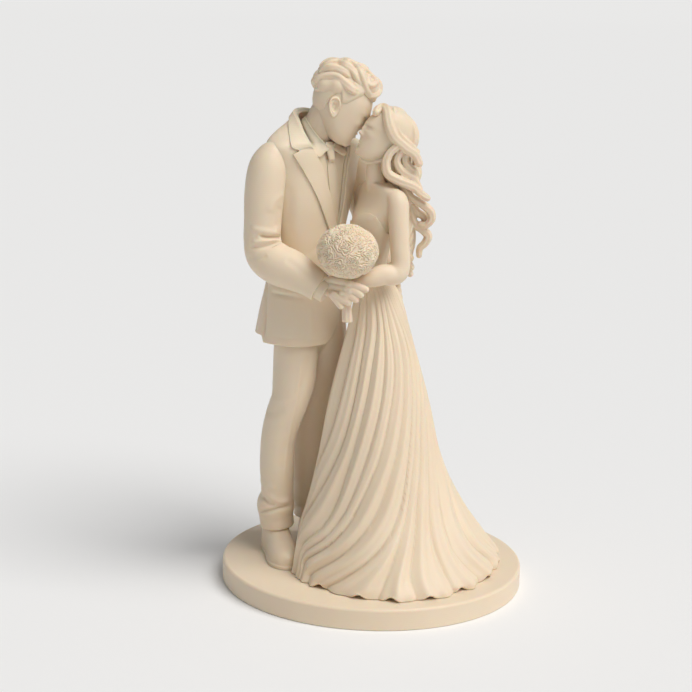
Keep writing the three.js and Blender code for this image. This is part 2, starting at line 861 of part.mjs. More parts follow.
function skull(shares, grow, face) {
  const frame = headFrame(shares);
  const height = headHeight(shares);
  const levels = 12;
  return loft(
    smoothRows(skullShares, levels).map(([level, middle, deep, wide], i) =>
      ringAngles(16).map((angle) => {
        const drawn = angle - Math.sin(angle) * frontShare;
        const degrees = THREE.MathUtils.radToDeg(Math.atan2(Math.sin(drawn), Math.cos(drawn)));
        const rise = faceRise(face, degrees, level);
        const point = new THREE.Vector3(
          Math.cos(drawn) * ((deep + rise) * height + grow) + middle * height,
          Math.sin(drawn) * ((wide + rise) * height + grow),
          level * height - endShift(i, levels, grow),
        );
        return point.applyMatrix4(frame);
      }),
    ),
  );
}

function groomHead(grow = 0) {
  const frame = headFrame(groomHeadShares);
  const height = headHeight(groomHeadShares);
  const ear = (side) => {
    const [x, y, z] = earShares;
    const centre = new THREE.Vector3(x, side * y, z).multiplyScalar(height).applyMatrix4(frame);
    return ball(centre, earHalfShares.map((share) => share * height + grow), [6, 5]);
  };
  const neck = limb(groomNeckShares, { sides: 12, steps: 5, grow });
  return join(skull(groomHeadShares, grow, faceShares), neck, ear(1), ear(-1));
}

function brideHead(grow = 0) {
  const neck = limb(brideNeckShares, { sides: 12, steps: 6, grow });
  return join(skull(brideHeadShares, grow, faceShares), neck);
}

// The part of the skull that carries hair: what lies behind a line from the forehead to the nape.
function hairCap(shares, { forehead, nape }) {
  const height = headHeight(shares);
  const [a, b] = [forehead, nape].map(([x, z]) => new THREE.Vector2(x, z).multiplyScalar(height));
  const down = new THREE.Vector2().subVectors(b, a).normalize();
  const behind = new THREE.Vector2(down.y, -down.x);
  const corner = (p, s, t) => {
    return p.clone().addScaledVector(down, s * height).addScaledVector(behind, t * height);
  };
  const shape = new THREE.Shape([corner(a, -1, 0), corner(b, 1, 0), corner(b, 1, 2), corner(a, -1, 2)]);
  const geometry = new THREE.ExtrudeGeometry(shape, { depth: 2 * height, bevelEnabled: false });
  geometry.translate(0, 0, -height).rotateX(Math.PI / 2).applyMatrix4(headFrame(shares));
  return skull(shares, HAIR_CAP, []).intersect(solidOf(geometry));
}

// A skin over a heap of balls, as far as each direction from its middle sees them.
function heap(middle, balls, [around, levels]) {
  const geometry = new THREE.SphereGeometry(1, around, levels).rotateX(Math.PI / 2);
  const position = geometry.getAttribute("position");
  for (let i = 0; i < position.count; i++) {
    const out = new THREE.Vector3().fromBufferAttribute(position, i).normalize();
    const reaches = balls.map(({ centre, radius }) => {
      const to = centre.clone().sub(middle);
      const along = to.dot(out);
      const inside = radius ** 2 - to.lengthSq() + along ** 2;
      return inside > 0 ? along + Math.sqrt(inside) : 0;
    });
    const reach = Math.max(balls[0].radius, ...reaches);
    position.setXYZ(i, ...out.multiplyScalar(reach).add(middle).toArray());
  }
  return solidOf(geometry);
}

function groomHair() {
  const centre = place(groomHeadShares);
  const height = headHeight(groomHeadShares);
  const curls = curlShares.map(([x, y, z, radius]) => ({
    centre: new THREE.Vector3(x, y, z).multiplyScalar(height).add(centre),
    radius: radius * height,
  }));
  const middle = centre.clone().addScaledVector(UP, curlHeapShare * height);
  return join(hairCap(groomHeadShares, hairlineShares.groom), heap(middle, curls, [20, 11]));
}

function brideHair() {
  const locks = lockShares.map((rows) => limb(rows, { sides: 5, steps: rows.length }));
  return join(hairCap(brideHeadShares, hairlineShares.bride), ...locks);
}

// Bride
const bust = (grow = 0) => trunk(bustShares, { sides: 18, levels: 9, grow, corners: bodyCornerShare });

// All that lies below the gown's neckline.
function belowNeckline(grow = 0) {
  const [x, y, , , , , bearing] = bustShares[0];
  const from = place([x, y, 0]).setZ(0).addScaledVector(facing(bearing).ahead, -overrun);
  const outline = necklineShares.map(([s, z]) => [s * thousandth, z * thousandth + BASE_THICKNESS + grow]);
  return slab(outline, { from, bearing, reach: 2 * overrun });
}

function gownPeg(grow = 0) {
  const [x, y] = skirtShares.at(-1);
  return peg(place([x, y, 0]), { radius: GOWN_PEG_RADIUS, down: PEG_DEPTH, up: PEG_DEPTH, grow });
}

function waistPeg(grow = 0) {
  return peg(place(skirtShares[0]), { radius: GOWN_PEG_RADIUS, down: PEG_DEPTH, up: PEG_DEPTH, grow });
}

// How far the hem reaches at a bearing, eased between the rows of its table.
function hemReach(degrees) {
  const i = Math.max(0, hemShares.findIndex(([bearing]) => bearing >= degrees) - 1);
  const [[a, p], [b, q]] = [hemShares[i], hemShares[i + 1]];
  const u = (degrees - a) / (b - a);
  return p + (q - p) * u * u * (3 - 2 * u);
}

// The waist's reach at an angle: an ellipse, turned as she stands.
function waistReach(angle) {
  const [across, along, bearing] = waistShares;
  const turned = angle - THREE.MathUtils.degToRad(bearing);
  return 1 / Math.hypot(Math.cos(turned) / across, Math.sin(turned) / along);
}

// The bearings of all valleys at a flare: the front ones as in their table, the others spread evenly behind.
function valleyBearings(flare) {
  const i = Math.max(0, valleyLevelShares.findIndex((level) => level >= Math.min(flare, 1)) - 1);
  const [low, high] = [valleyLevelShares[i], valleyLevelShares[i + 1]];
  const u = (Math.min(flare, 1) - low) / (high - low);
  const front = valleyShares.map((row) => row[i] + (row[i + 1] - row[i]) * u);
  const [first, last] = [front[0] + 360, front.at(-1)];
  const step = (first - last) / (HIDDEN_PLEATS + 1);
  const hidden = Array.from({ length: HIDDEN_PLEATS }, (_, k) => last + step * (k + 1));
  return [...front, ...hidden, first];
}

// How far the skirt has flared at a bearing: a little less in front than at the sides.
function flareAt(bearing, [, , , sides, front]) {
  const [middle, edge] = frontShares;
  const facingShare = Math.cos(THREE.MathUtils.degToRad(bearing - middle));
  return sides + (front - sides) * THREE.MathUtils.smoothstep(facingShare, edge, 1);
}

// The skirt flares from the waist to the hem, and its pleats widen, deepen and sweep to one side on the way down.
function skirt(grow = 0) {
  return loft(
    smoothRows(skirtShares, 10).map((row) => {
      const centre = place([row[0], row[1], Math.max(row[2], 0)]).addScaledVector(UP, SEAM);
      const valleys = valleyBearings(row[3]);
      return valleys.slice(0, -1).flatMap((from, k) =>
        pleatEdgeShares.map((share, j) => {
          const bearing = from + (valleys[k + 1] - from) * share;
          const angle = THREE.MathUtils.degToRad(bearing);
          const waist = waistReach(angle);
          const spread = hemReach(((bearing + 540) % 360) - 180) - waist;
          const reach = (waist + spread * flareAt(bearing, row)) * thousandth;
          const width = THREE.MathUtils.degToRad(valleys[k + 1] - from) * reach;
          const depth = Math.min(pleatDepthShare * width, PLEAT_DEPTH);
          const radius = reach + pleatShares[j] * depth + grow;
          return new THREE.Vector3(Math.cos(angle), Math.sin(angle), 0).multiplyScalar(radius).add(centre);
        }),
      );
    }),
  );
}

const brideLeftArm = (grow = 0) =>
  join(limb(brideLeftArmShares, { sides: 7, steps: 10, grow }), fingers(brideLeftFingerShares, grow));
const brideRightArm = (grow = 0) =>
  join(limb(brideRightArmShares, { sides: 7, steps: 8, grow }), fingers(brideRightFingerShares, grow));

// Bouquet: blooms spread evenly over a dome, and a bundle of stems that splays at its foot.
function bouquetDome(grow = 0) {
  const wide = BOUQUET_RADIUS + grow;
  return ball(place(bouquetShares), [wide, wide, wide * bouquetFlatShare], [20, 12]);
}

function bouquetFlowers() {
  const blooms = Array.from({ length: BLOOMS }, (_, i) => {
    const level = 1 - (2 * (i + 0.5)) / BLOOMS;
    return new THREE.Vector3().setFromSphericalCoords(1, Math.acos(level), i * Math.PI * (3 - Math.sqrt(5)));
  });
  const dome = new THREE.SphereGeometry(1, 23, 11);
  const position = dome.getAttribute("position");
  for (let i = 0; i < position.count; i++) {
    const out = new THREE.Vector3().fromBufferAttribute(position, i);
    const away = Math.min(...blooms.map((bloom) => out.distanceTo(bloom))) * BOUQUET_RADIUS;
    const sunk = Math.min(1, (away / BLOOM_RADIUS) ** 2) * BLOOM_RISE;
    position.setXYZ(i, ...out.multiplyScalar(BOUQUET_RADIUS - sunk).toArray());
  }
  dome.rotateX(Math.PI / 2).scale(1, 1, bouquetFlatShare);
  return solidOf(dome.translate(...place(bouquetShares).toArray()));
}

function bouquetStems(grow = 0) {
  const half = STEM_RADIUS / thousandth;
  const stems = ringAngles(STEMS).map((angle) => {
    const rows = stemShares.map(([x, y, z, spread]) => {
      const out = spread * half;
      return [x + Math.cos(angle) * out, y + Math.sin(angle) * out, z, half, half];
    });
    return limb(rows, { sides: 5, steps: 3, grow, round: [false, true] });
  });
  return join(...stems);
}

// Seating: each piece is cut by the neighbours it is glued to, kept a seam away.
const figures = {
  base: {
    base_disc: cutBy(
      baseDisc(),
      shoePeg(rightShoeShares, SEAM),
      shoePeg(leftShoeShares, SEAM),
      gownPeg(SEAM),
    ),
  },
  groom: {
    groom_right_shoe: shoe(rightShoeShares),
    groom_left_shoe: shoe(leftShoeShares),
    groom_trousers: cutBy(trousers(), shoe(rightShoeShares, SEAM), shoe(leftShoeShares, SEAM)),
    groom_jacket: cutBy(jacket(), trousers(SEAM), groomHead(SEAM), collarRoom()),
    groom_shirt_front: cutBy(shirtFront(), trousers(SEAM), groomHead(SEAM), collar(SEAM)),
    groom_shirt_collar: cutBy(collar(), groomHead(SEAM)),
    groom_tie: cutBy(tie(), groomHead(SEAM), collar(SEAM)),
    groom_right_sleeve: cutBy(
      rightSleeve(),
      jacketBody(SEAM),
      lapels(SEAM),
      cuff(rightCuffShares, SEAM),
      fingers(groomRightHandShares, SEAM),
      bouquetDome(SEAM),
    ),
    groom_left_sleeve: cutBy(
      leftSleeve(),
      jacketBody(SEAM),
      lapels(SEAM),
      cuff(leftCuffShares, SEAM),
      fingers(groomLeftHandShares, SEAM),
    ),
    groom_right_cuff: cutBy(cuff(rightCuffShares), fingers(groomRightHandShares, SEAM)),
    groom_left_cuff: cutBy(cuff(leftCuffShares), fingers(groomLeftHandShares, SEAM)),
    groom_right_hand: cutBy(fingers(groomRightHandShares), bouquetStems(SEAM)),
    groom_left_hand: cutBy(fingers(groomLeftHandShares), skirt(SEAM)),
    groom_head: groomHead(),
    groom_hair: cutBy(groomHair(), groomHead(SEAM)),
  },
  bride: {
    bride_skirt: cutBy(
      join(skirt(), gownPeg()),
      waistPeg(SEAM),
      shoe(rightShoeShares, SEAM),
      shoe(leftShoeShares, SEAM),
      trousers(SEAM),
      jacketBody(SEAM),
    ),
    bride_bodice: join(bust(GOWN_WALL).intersect(belowNeckline()), waistPeg()),
    bride_shoulders: cutBy(bust(), belowNeckline(SEAM), brideHead(SEAM)),
    bride_left_arm: cutBy(brideLeftArm(), bust(GOWN_WALL + SEAM), bouquetDome(SEAM), bouquetStems(SEAM)),
    bride_right_arm: cutBy(brideRightArm(), bust(GOWN_WALL + SEAM), jacketBody(SEAM)),
    bride_head: cutBy(brideHead(), groomHead(SEAM)),
    bride_hair: cutBy(
      brideHair(),
      brideHead(SEAM),
      bust(GOWN_WALL + SEAM),
      brideLeftArm(SEAM),
      groomHead(SEAM),
    ),
  },
  bouquet: {
    bouquet_flowers: cutBy(bouquetFlowers(), bouquetStems(SEAM)),
    bouquet_stems: bouquetStems(),
  },
};

const resin = { color: 0xe6d2b6, roughness: 0.52, metalness: 0 };

const group = new THREE.Group();
Object.entries(figures).forEach(([name, pieces]) => {
  const figure = new THREE.Group();
  figure.name = name;
  Object.entries(pieces).forEach(([piece, solid]) => {
    const { vertProperties, triVerts } = solid.getMesh();
    const geometry = new THREE.BufferGeometry();
    geometry.setAttribute("position", new THREE.BufferAttribute(vertProperties, 3));
    geometry.setIndex(new THREE.BufferAttribute(triVerts, 1));
    geometry.computeVertexNormals();
    const mesh = new THREE.Mesh(geometry, new THREE.MeshStandardMaterial(resin));
    mesh.name = piece;
    figure.add(mesh);
  });
  group.add(figure);
});

export default group;
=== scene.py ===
import math

import bmesh
import bpy
import numpy as np
from mathutils import Matrix, Vector


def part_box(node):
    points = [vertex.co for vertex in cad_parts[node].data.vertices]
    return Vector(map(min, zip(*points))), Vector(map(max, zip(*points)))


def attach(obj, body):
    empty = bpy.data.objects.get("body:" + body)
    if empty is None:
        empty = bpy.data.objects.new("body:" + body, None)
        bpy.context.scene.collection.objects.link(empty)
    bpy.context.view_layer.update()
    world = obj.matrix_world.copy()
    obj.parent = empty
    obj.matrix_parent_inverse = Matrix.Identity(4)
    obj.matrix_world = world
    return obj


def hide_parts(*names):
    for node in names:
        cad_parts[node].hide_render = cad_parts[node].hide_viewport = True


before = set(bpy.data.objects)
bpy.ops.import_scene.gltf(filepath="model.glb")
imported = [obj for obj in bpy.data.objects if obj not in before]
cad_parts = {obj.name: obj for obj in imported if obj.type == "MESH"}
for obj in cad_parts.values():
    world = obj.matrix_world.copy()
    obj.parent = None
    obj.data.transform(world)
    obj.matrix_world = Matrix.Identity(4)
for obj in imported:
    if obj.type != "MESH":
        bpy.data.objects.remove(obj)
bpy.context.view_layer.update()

# Sizes in metres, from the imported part
MM = 0.001
TURN = 2 * math.pi
FIGURE_HEIGHT = 160 * MM
THOUSANDTH = FIGURE_HEIGHT / 1000
BASE_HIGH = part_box("base_disc")[1]
BASE_TOP = BASE_HIGH[2]
BASE_RADIUS = BASE_HIGH[0]
CLOTH_WALL = 1.0 * MM
LAPEL_RISE = 0.75 * MM
LAPEL_WALL = 0.9 * MM
SHIRT_STEP = 1.0 * MM
SHIRT_WALL = 0.8 * MM
LAYER_HEIGHT = 0.62 * MM
# Shoes and skirt stand this deep in the base
SUNK = 0.05 * MM

# How square the bodies' sections are: 1 is an ellipse and less is squarer
SQUARENESS = 0.86

# Camera, fitted to the base's ellipse and the figures' heights
PICTURE = 692
VIEW_ANGLE = math.radians(24)
VIEW_DISTANCE = 518.3 * MM
VIEW_RISE = math.radians(12.14)
VIEW_ROLL = math.radians(1.6)
VIEW_MIDDLE = np.array([-10.235, 0, 76.63]) * MM
BACK = np.array([0, -math.cos(VIEW_RISE), math.sin(VIEW_RISE)])
LEVEL = np.array([1.0, 0, 0])
RISING = np.cross(BACK, LEVEL)
VIEW_RIGHT = LEVEL * math.cos(VIEW_ROLL) + RISING * math.sin(VIEW_ROLL)
VIEW_UP = RISING * math.cos(VIEW_ROLL) - LEVEL * math.sin(VIEW_ROLL)
VIEW_FROM = VIEW_MIDDLE + BACK * VIEW_DISTANCE
FOCAL_PIXELS = PICTURE / 2 / math.tan(VIEW_ANGLE / 2)


def make_camera():
    data = bpy.data.cameras.new("camera")
    data.sensor_width = 36
    data.lens = data.sensor_width / 2 / math.tan(VIEW_ANGLE / 2)
    data.clip_start = 10 * MM
    data.clip_end = 300
    camera = bpy.data.objects.new("camera", data)
    turn = Matrix([VIEW_RIGHT, VIEW_UP, BACK]).transposed().to_4x4()
    camera.matrix_world = Matrix.Translation(VIEW_FROM) @ turn
    bpy.context.scene.collection.objects.link(camera)
    bpy.context.scene.camera = camera


# Tables of places, in thousandths of the groom's height, with z from the top of the base
# A trunk row: x, y, z, half width, reach ahead and behind, the way it faces in degrees, and its tip
JACKET = [
    [-148, 20, 446, 92, 66, 94, 58, 0],
    [-148, 20, 500, 90, 67, 82, 57, 0],
    [-149, 20, 560, 85, 66, 66, 56, 0],
    [-149, 19, 620, 80, 66, 55, 54, 0],
    [-147, 17, 680, 86, 63, 54, 50, 0],
    [-143, 15, 740, 96, 61, 56, 46, 0],
    [-141, 12, 785, 101, 56, 56, 45, 0],
    [-140, 8, 810, 107, 51, 52, 45, 0.05],
    [-139, 6, 828, 112, 47, 49, 45, 0.13],
    [-138, 4, 840, 109, 43, 46, 45, 0.22],
    [-136, 2, 851, 94, 40, 44, 46, 0.34],
    [-134, 0, 861, 70, 38, 42, 48, 0.48],
    [-132, -2, 870, 50, 36, 40, 50, 0.58],
    [-130, -3, 876, 41, 35, 38, 52, 0.62],
]
SEAT = [
    [-148, 20, 420, 56, 34, 30, 58],
    [-148, 20, 442, 74, 47, 50, 58],
    [-148, 20, 500, 76, 47, 58, 57],
    [-149, 20, 550, 70, 42, 50, 55],
]
BUST = [
    [-20, -24, 596, 33, 25, 25, -60],
    [-19, -24, 622, 36, 28, 26, -60],
    [-17, -25, 650, 41, 34, 28, -60],
    [-15, -26, 676, 49, 43, 31, -60],
    [-13, -26, 700, 54, 42, 32, -60],
    [-9, -25, 722, 62, 32, 32, -60],
    [-5, -24, 742, 68, 27, 30, -60],
    [-6, -25, 756, 60, 24, 27, -60],
    [-14, -26, 767, 30, 20, 22, -55],
]
# A limb row: x, y, z, half width and half depth
RIGHT_LEG = [
    [-163, -8, 470, 43, 46],
    [-163, -12, 430, 44, 47],
    [-166, -15, 366, 42, 46],
    [-173, -17, 327, 37, 44],
    [-185, -13, 290, 36, 42],
    [-195, -6, 243, 34, 42],
    [-197, 2, 180, 34, 42],
    [-195, 8, 130, 32, 39],
    [-198, 10, 102, 38, 43],
    [-197, 12, 80, 35, 41],
    [-194, 12, 56, 34, 41],
]
LEFT_LEG = [
    [-106, 42, 490, 40, 44],
    [-108, 47, 430, 44, 47],
    [-119, 60, 366, 46, 47],
    [-126, 66, 327, 41, 44],
    [-131, 71, 290, 40, 42],
    [-133, 76, 243, 38, 42],
    [-133, 81, 180, 38, 42],
    [-132, 85, 130, 35, 39],
    [-131, 87, 100, 37, 41],
    [-129, 88, 80, 33, 39],
    [-129, 88, 56, 34, 41],
]
# Each shoe's heel and toe, as x and y
RIGHT_SHOE = [(-208, 62), (-163, -99)]
LEFT_SHOE = [(-130, 142), (-121, -22)]
RIGHT_SLEEVE = [
    [-203, -52, 827, 20, 24],
    [-215, -60, 814, 30, 32],
    [-223, -66, 790, 37, 37],
    [-228, -70, 745, 38, 37],
    [-230, -71, 690, 36, 35],
    [-230, -72, 655, 36, 36],
    [-222, -77, 628, 39, 38],
    [-200, -87, 612, 40, 39],
    [-170, -99, 602, 38, 36],
    [-140, -110, 588, 32, 31],
    [-116, -119, 573, 28, 27],
]
LEFT_SLEEVE = [
    [-76, 66, 827, 20, 24],
    [-66, 80, 814, 30, 32],
    [-56, 92, 790, 37, 37],
    [-44, 106, 740, 38, 36],
    [-28, 118, 700, 36, 35],
    [-16, 128, 664, 36, 36],
    [-4, 126, 636, 37, 37],
    [6, 112, 612, 35, 35],
    [16, 92, 592, 31, 31],
    [24, 70, 577, 28, 27],
]
RIGHT_CUFF = [[-126, -115, 579, 24, 23], [-103, -123, 566, 22, 21]]
LEFT_CUFF = [[21, 78, 583, 24, 23], [28, 59, 570, 22, 21]]
GROOM_NECK = [
    [-141, 4, 795, 34, 32],
    [-138, 2, 832, 31, 31],
    [-131, -1, 862, 30, 31],
    [-122, -4, 886, 29, 31],
    [-112, -7, 906, 28, 31],
    [-102, -9, 922, 25, 28],
]
BRIDE_NECK = [
    [-12, -25, 742, 17, 15],
    [-16, -26, 762, 19, 17],
    [-18, -28, 780, 17, 16],
    [-18, -28, 800, 16, 16],
    [-13, -29, 820, 17, 17],
    [-4, -30, 842, 18, 18],
]
BRIDE_LEFT_ARM = [
    [14, -58, 748, 16, 15],
    [27, -76, 737, 20, 18],
    [30, -84, 700, 20, 18],
    [33, -87, 655, 19, 18],
    [36, -88, 622, 19, 18],
    [31, -91, 604, 21, 20],
    [20, -97, 598, 20, 19],
    [4, -104, 600, 20, 19],
    [-16, -112, 594, 18, 15],
    [-36, -116, 588, 12, 11],
    [-52, -112, 588, 9, 14],
]
BRIDE_RIGHT_ARM = [
    [-24, 10, 748, 16, 15],
    [-36, 36, 737, 19, 17],
    [-38, 50, 705, 18, 17],
    [-38, 66, 670, 16, 15],
    [-44, 84, 648, 16, 15],
    [-66, 97, 644, 16, 15],
    [-92, 106, 642, 13, 12],
    [-112, 108, 640, 10, 13],
]
# The hand on the stems, drawn in the picture: depth at each end, half thickness in millimetres, line
HAND_STROKES = [
    [-117, -148, 1.3, [(321, 281), (331, 280), (341, 281.5), (351, 284)]],
    [-117, -149, 1.45, [(320, 286), (330, 286), (341, 288), (350, 290.5)]],
    [-117, -147, 1.4, [(319, 290), (328, 291.5), (337, 294), (346, 297)]],
    [-148, -151, 1.08, [(348, 284), (355, 285.5), (361, 287.5), (366, 289.5)]],
    [-148, -152, 1.08, [(346, 288.5), (352, 290), (357, 292.5), (361, 295)]],
    [-147, -151, 1.05, [(342, 293), (348, 295), (353, 297.5), (356, 300)]],
    [-144, -149, 1.1, [(333, 294), (339, 297.5), (344, 300), (349, 303)]],
    [-142, -147, 1.0, [(331, 295), (335, 299), (338, 303), (341, 306.5)]],
]
GROOM_LEFT_HAND = [
    [[24, 76, 582, 15, 17], [28, 56, 570, 14, 17], [32, 40, 556, 9, 17], [33, 28, 546, 7, 15]],
    [[33, 36, 562, 6, 6], [36, 20, 557, 6, 6], [34, 6, 551, 5, 5]],
    [[35, 34, 552, 6, 6], [38, 18, 546, 6, 6], [36, 4, 540, 5, 5]],
    [[36, 32, 542, 6, 6], [40, 17, 535, 6, 6], [39, 4, 529, 5, 5]],
    [[36, 32, 533, 6, 6], [42, 20, 526, 5, 5], [42, 8, 520, 4, 4]],
]
BRIDE_LEFT_FINGERS = [
    [[-50, -110, 594, 5, 5], [-68, -104, 594, 5, 5], [-84, -110, 592, 4, 4]],
    [[-50, -110, 585, 5, 5], [-68, -104, 584, 5, 5], [-84, -110, 582, 4, 4]],
]
BRIDE_RIGHT_FINGERS = [
    [[-110, 108, 648, 5, 5], [-126, 104, 650, 5, 5], [-142, 96, 650, 4, 4]],
    [[-110, 109, 639, 5, 5], [-127, 106, 638, 5, 5], [-144, 97, 637, 4, 4]],
    [[-110, 108, 630, 5, 5], [-126, 105, 626, 5, 5], [-141, 97, 624, 4, 4]],
]
# A skirt row: the axis x, y and z of a level, and how far it has flared there at the sides and at the front
SKIRT = [
    [-19, -24, 594, 0.0, 0.0],
    [-14, -25, 575, 0.035, 0.035],
    [-6, -26, 545, 0.085, 0.085],
    [-3, -27, 483, 0.174, 0.174],
    [-2, -28, 412, 0.285, 0.28],
    [0, -30, 331, 0.4, 0.38],
    [3, -32, 227, 0.52, 0.49],
    [10, -34, 144, 0.67, 0.61],
    [20, -36, 82, 0.84, 0.76],
    [32, -37, 40, 0.95, 0.89],
    [40, -38, 14, 1.0, 0.98],
    [40, -38, 0, 1.01, 1.01],
]
# The hem's bearings in degrees and its reach from the axis there
HEM = [
    [-180, 184],
    [-165, 202],
    [-155, 214],
    [-145, 220],
    [-130, 215],
    [-105, 221],
    [-90, 225],
    [-75, 221],
    [-60, 212],
    [-40, 203],
    [-15, 206],
    [15, 222],
    [35, 234],
    [60, 228],
    [90, 212],
    [112, 182],
    [132, 148],
    [148, 126],
    [164, 150],
    [180, 184],
]
# The waist: half width, half depth and bearing
WAIST = [37, 29, -60]
# The bearing of the skirt's front
SKIRT_FRONT = -95
# Valleys between the pleats, drawn in the picture from the waist down to the hem
VALLEYS = [
    [(351, 312), (343, 338), (333, 378), (325, 410), (316, 445), (306, 480), (297, 506)],
    [(358, 312), (352, 345), (343, 380), (333, 420), (325, 443), (317, 466), (308, 490), (298, 514)],
    [(366, 305), (366, 325), (361, 360), (354, 400), (344, 440), (335, 460), (323, 482), (311, 502),
     (299, 524)],
    [(375, 305), (378, 325), (373, 360), (366, 400), (356, 440), (344, 480), (337, 500), (327, 520),
     (313, 536), (301, 541)],
    [(380, 305), (384, 330), (385, 370), (382, 400), (376, 430), (366, 460), (351, 500), (339, 521),
     (322, 541), (303, 550)],
    [(385, 305), (390, 330), (395, 360), (394, 390), (387, 430), (380, 460), (371, 480), (361, 500),
     (345, 529), (322, 550), (304, 557)],
    [(388, 303), (397, 328), (404, 360), (405, 400), (400, 440), (396, 460), (390, 480), (382, 502),
     (372, 522), (360, 539), (340, 557), (308, 574)],
    [(391, 303), (403, 330), (411, 360), (413, 400), (411, 440), (407, 480), (404, 500), (399, 520),
     (389, 540), (373, 559), (350, 575), (325, 589)],
    [(393, 303), (406, 331), (415, 365), (417, 400), (416, 440), (413, 470), (409, 500), (404, 530),
     (397, 555), (388, 577), (379, 597)],
    [(395, 304), (408.5, 332), (418, 366), (421.5, 400), (421, 440), (421, 480), (418, 500), (416, 530),
     (412, 560), (411, 580), (416, 596)],
    [(397, 304), (410.5, 334), (420, 368), (425, 400), (428, 440), (430, 480), (431, 510), (433, 535),
     (437, 552), (444, 569), (456, 593)],
    [(398.5, 305), (412, 336), (422, 371), (428, 401), (432.5, 432), (436, 460), (439, 480), (441, 500),
     (445, 520), (451, 540), (460, 558), (481, 578)],
    [(400, 306), (413.5, 338), (424, 375), (430.5, 404), (437, 436), (444, 466), (450, 490), (457, 513),
     (466, 533), (477, 548), (492, 560)],
]
HIDDEN_PLEATS = 11
# Arches of the hem, drawn in the picture in front, and as bearings in degrees where it doesn't show
HEM_ARCHES = [(318, 588), (359, 597), (392, 599), (430, 598), (463, 591), (488, 575)]
HIDDEN_ARCHES = [-172, -14, -2, 10, 24, 42, 68, 96, 124, 152]
# The bouquet's middle and radius, and the middle of its main bloom in the picture
BOUQUET = [-66, -138, 648]
BOUQUET_RADIUS = 9.2 * MM
MAIN_BLOOM = (345, 245)
# Folds and seams drawn in the picture: each line, its half width in pixels, and its height in millimetres
SLEEVE_FOLDS = [
    [[(258, 235), (268, 237), (278, 237), (284, 238)], 1.8, -0.9],
    [[(248, 248), (260, 247), (271, 245), (281, 241)], 2.2, -0.6],
    [[(252, 242), (264, 241), (276, 240)], 2.0, 0.5],
    [[(250, 228), (264, 231), (279, 233)], 3.2, 0.45],
    [[(286, 193), (279, 197), (272, 205), (270, 213)], 3.6, 0.28],
    [[(281, 206), (277, 216), (277, 228)], 3.2, -0.25],
    [[(247, 257), (256, 259), (268, 255)], 3.0, -0.25],
    [[(285, 258), (298, 268), (312, 280)], 4.0, -0.2],
    [[(262, 270), (280, 281), (300, 292)], 3.0, 0.15],
    [[(328, 273), (322, 287), (315, 301)], 0.9, 0.12],
    [[(326, 271), (320, 285), (312, 300)], 0.8, -0.15],
]
TROUSER_FOLDS = [
    [[(262, 484), (268, 494), (279, 501), (292, 500)], 3.0, 0.6],
    [[(259, 512), (268, 511), (280, 508), (292, 505)], 1.8, -0.9],
    [[(262, 496), (268, 503), (276, 506)], 2.0, -0.5],
    [[(258, 478), (266, 485), (276, 489)], 3.0, 0.3],
    [[(261, 408), (272, 413), (286, 411)], 4.0, -0.3],
    [[(264, 424), (275, 431), (289, 429)], 5.0, -0.2],
    [[(266, 398), (280, 401), (298, 396)], 4.0, 0.2],
    [[(301, 345), (300, 370), (296, 400), (290, 430), (286, 460), (284, 488)], 1.4, 0.22],
    [[(310, 352), (306, 372), (300, 392)], 4.0, -0.25],
    [[(290, 440), (284, 455), (281, 470)], 4.0, -0.2],
    [[(272, 352), (276, 370), (274, 390)], 4.0, -0.15],
]
JACKET_FOLDS = [
    [[(267, 274), (266, 300), (264, 340)], 1.2, -0.5],
    [[(268, 336), (285, 339), (305, 340), (322, 340), (331, 332)], 0.9, -0.16],
    [[(270, 292), (285, 296), (306, 299)], 1.1, -0.5],
    [[(271, 288), (286, 292), (304, 295)], 2.4, 0.35],
    [[(290, 184), (289, 205), (287, 228)], 4.5, -0.2],
    [[(297, 190), (297, 215), (295, 235)], 5.0, 0.15],
    [[(330, 238), (318, 246), (306, 256)], 3.0, -0.2],
    [[(336, 252), (330, 280), (331, 310)], 3.0, 0.2],
    [[(310, 306), (311, 322), (312, 338)], 3.0, 0.2],
]
# The gown's upper edge, drawn in the picture
NECKLINE = [(353, 221), (358, 216), (364, 213), (370, 213), (376, 217), (382, 225), (387, 234)]
# The bundle of stems: x, y, z and how far it spreads
STEMS = [[-66, -128, 612, 0.9], [-66, -129, 560, 0.95], [-63, -132, 514, 1.3]]
# A head's middle, its height from chin to crown, and its bearing and nod in degrees
GROOM_HEAD = [-84, -12, 906, 130, 4, 25]
BRIDE_HEAD = [-3, -30, 853, 110, 196, -28]

# The jacket's front edges: heights and sideways reaches from the closing line, or lines drawn in the picture
HEM_EDGE = [[550, 6], [618, -1]]
CUTAWAY_LINE = [(325, 345), (330, 340), (334.5, 332), (338.5, 322), (341, 313)]
FAR_HEM_EDGE = [[446, 52], [460, 44], [484, 24], [550, 16], [618, 4]]
OPENING_LINE = [(338, 240), (335, 226), (332, 212), (327.5, 187), (321.5, 167), (315, 153), (309.5, 140)]
LAPEL_LINE = [
    (330, 234),
    (324, 216),
    (318, 200),
    (311, 184),
    (302, 168),
    (293.5, 154.5),
    (299.5, 150.5),
    (299, 149.5),
    (292, 146.5),
    (291, 138),
    (290.5, 127),
]
COLLAR_LINE = [(299, 149.5), (292.5, 146.5), (291, 138), (290.5, 128)]
COLLAR_SEAM = [(299.5, 150), (313, 147.5)]
COLLAR_ROLL = [(315, 152), (309.5, 141), (305.5, 133), (302, 125), (299, 117.5)]
SHIRT_COLLAR_TOP = [(304, 116), (308, 122), (313, 129.5), (320, 137.5), (327, 144.5), (331, 147)]
SHIRT_COLLAR_LOW = [(302, 120), (305, 129), (308, 137), (313, 147), (318.5, 157), (325, 151.5), (331, 149)]
SHIRT_EDGE = [[620, -22], [700, -34], [760, -48], [850, -66]]
TIE_NEAR = [[600, -9], [740, -14], [780, -15], [808, -14]]
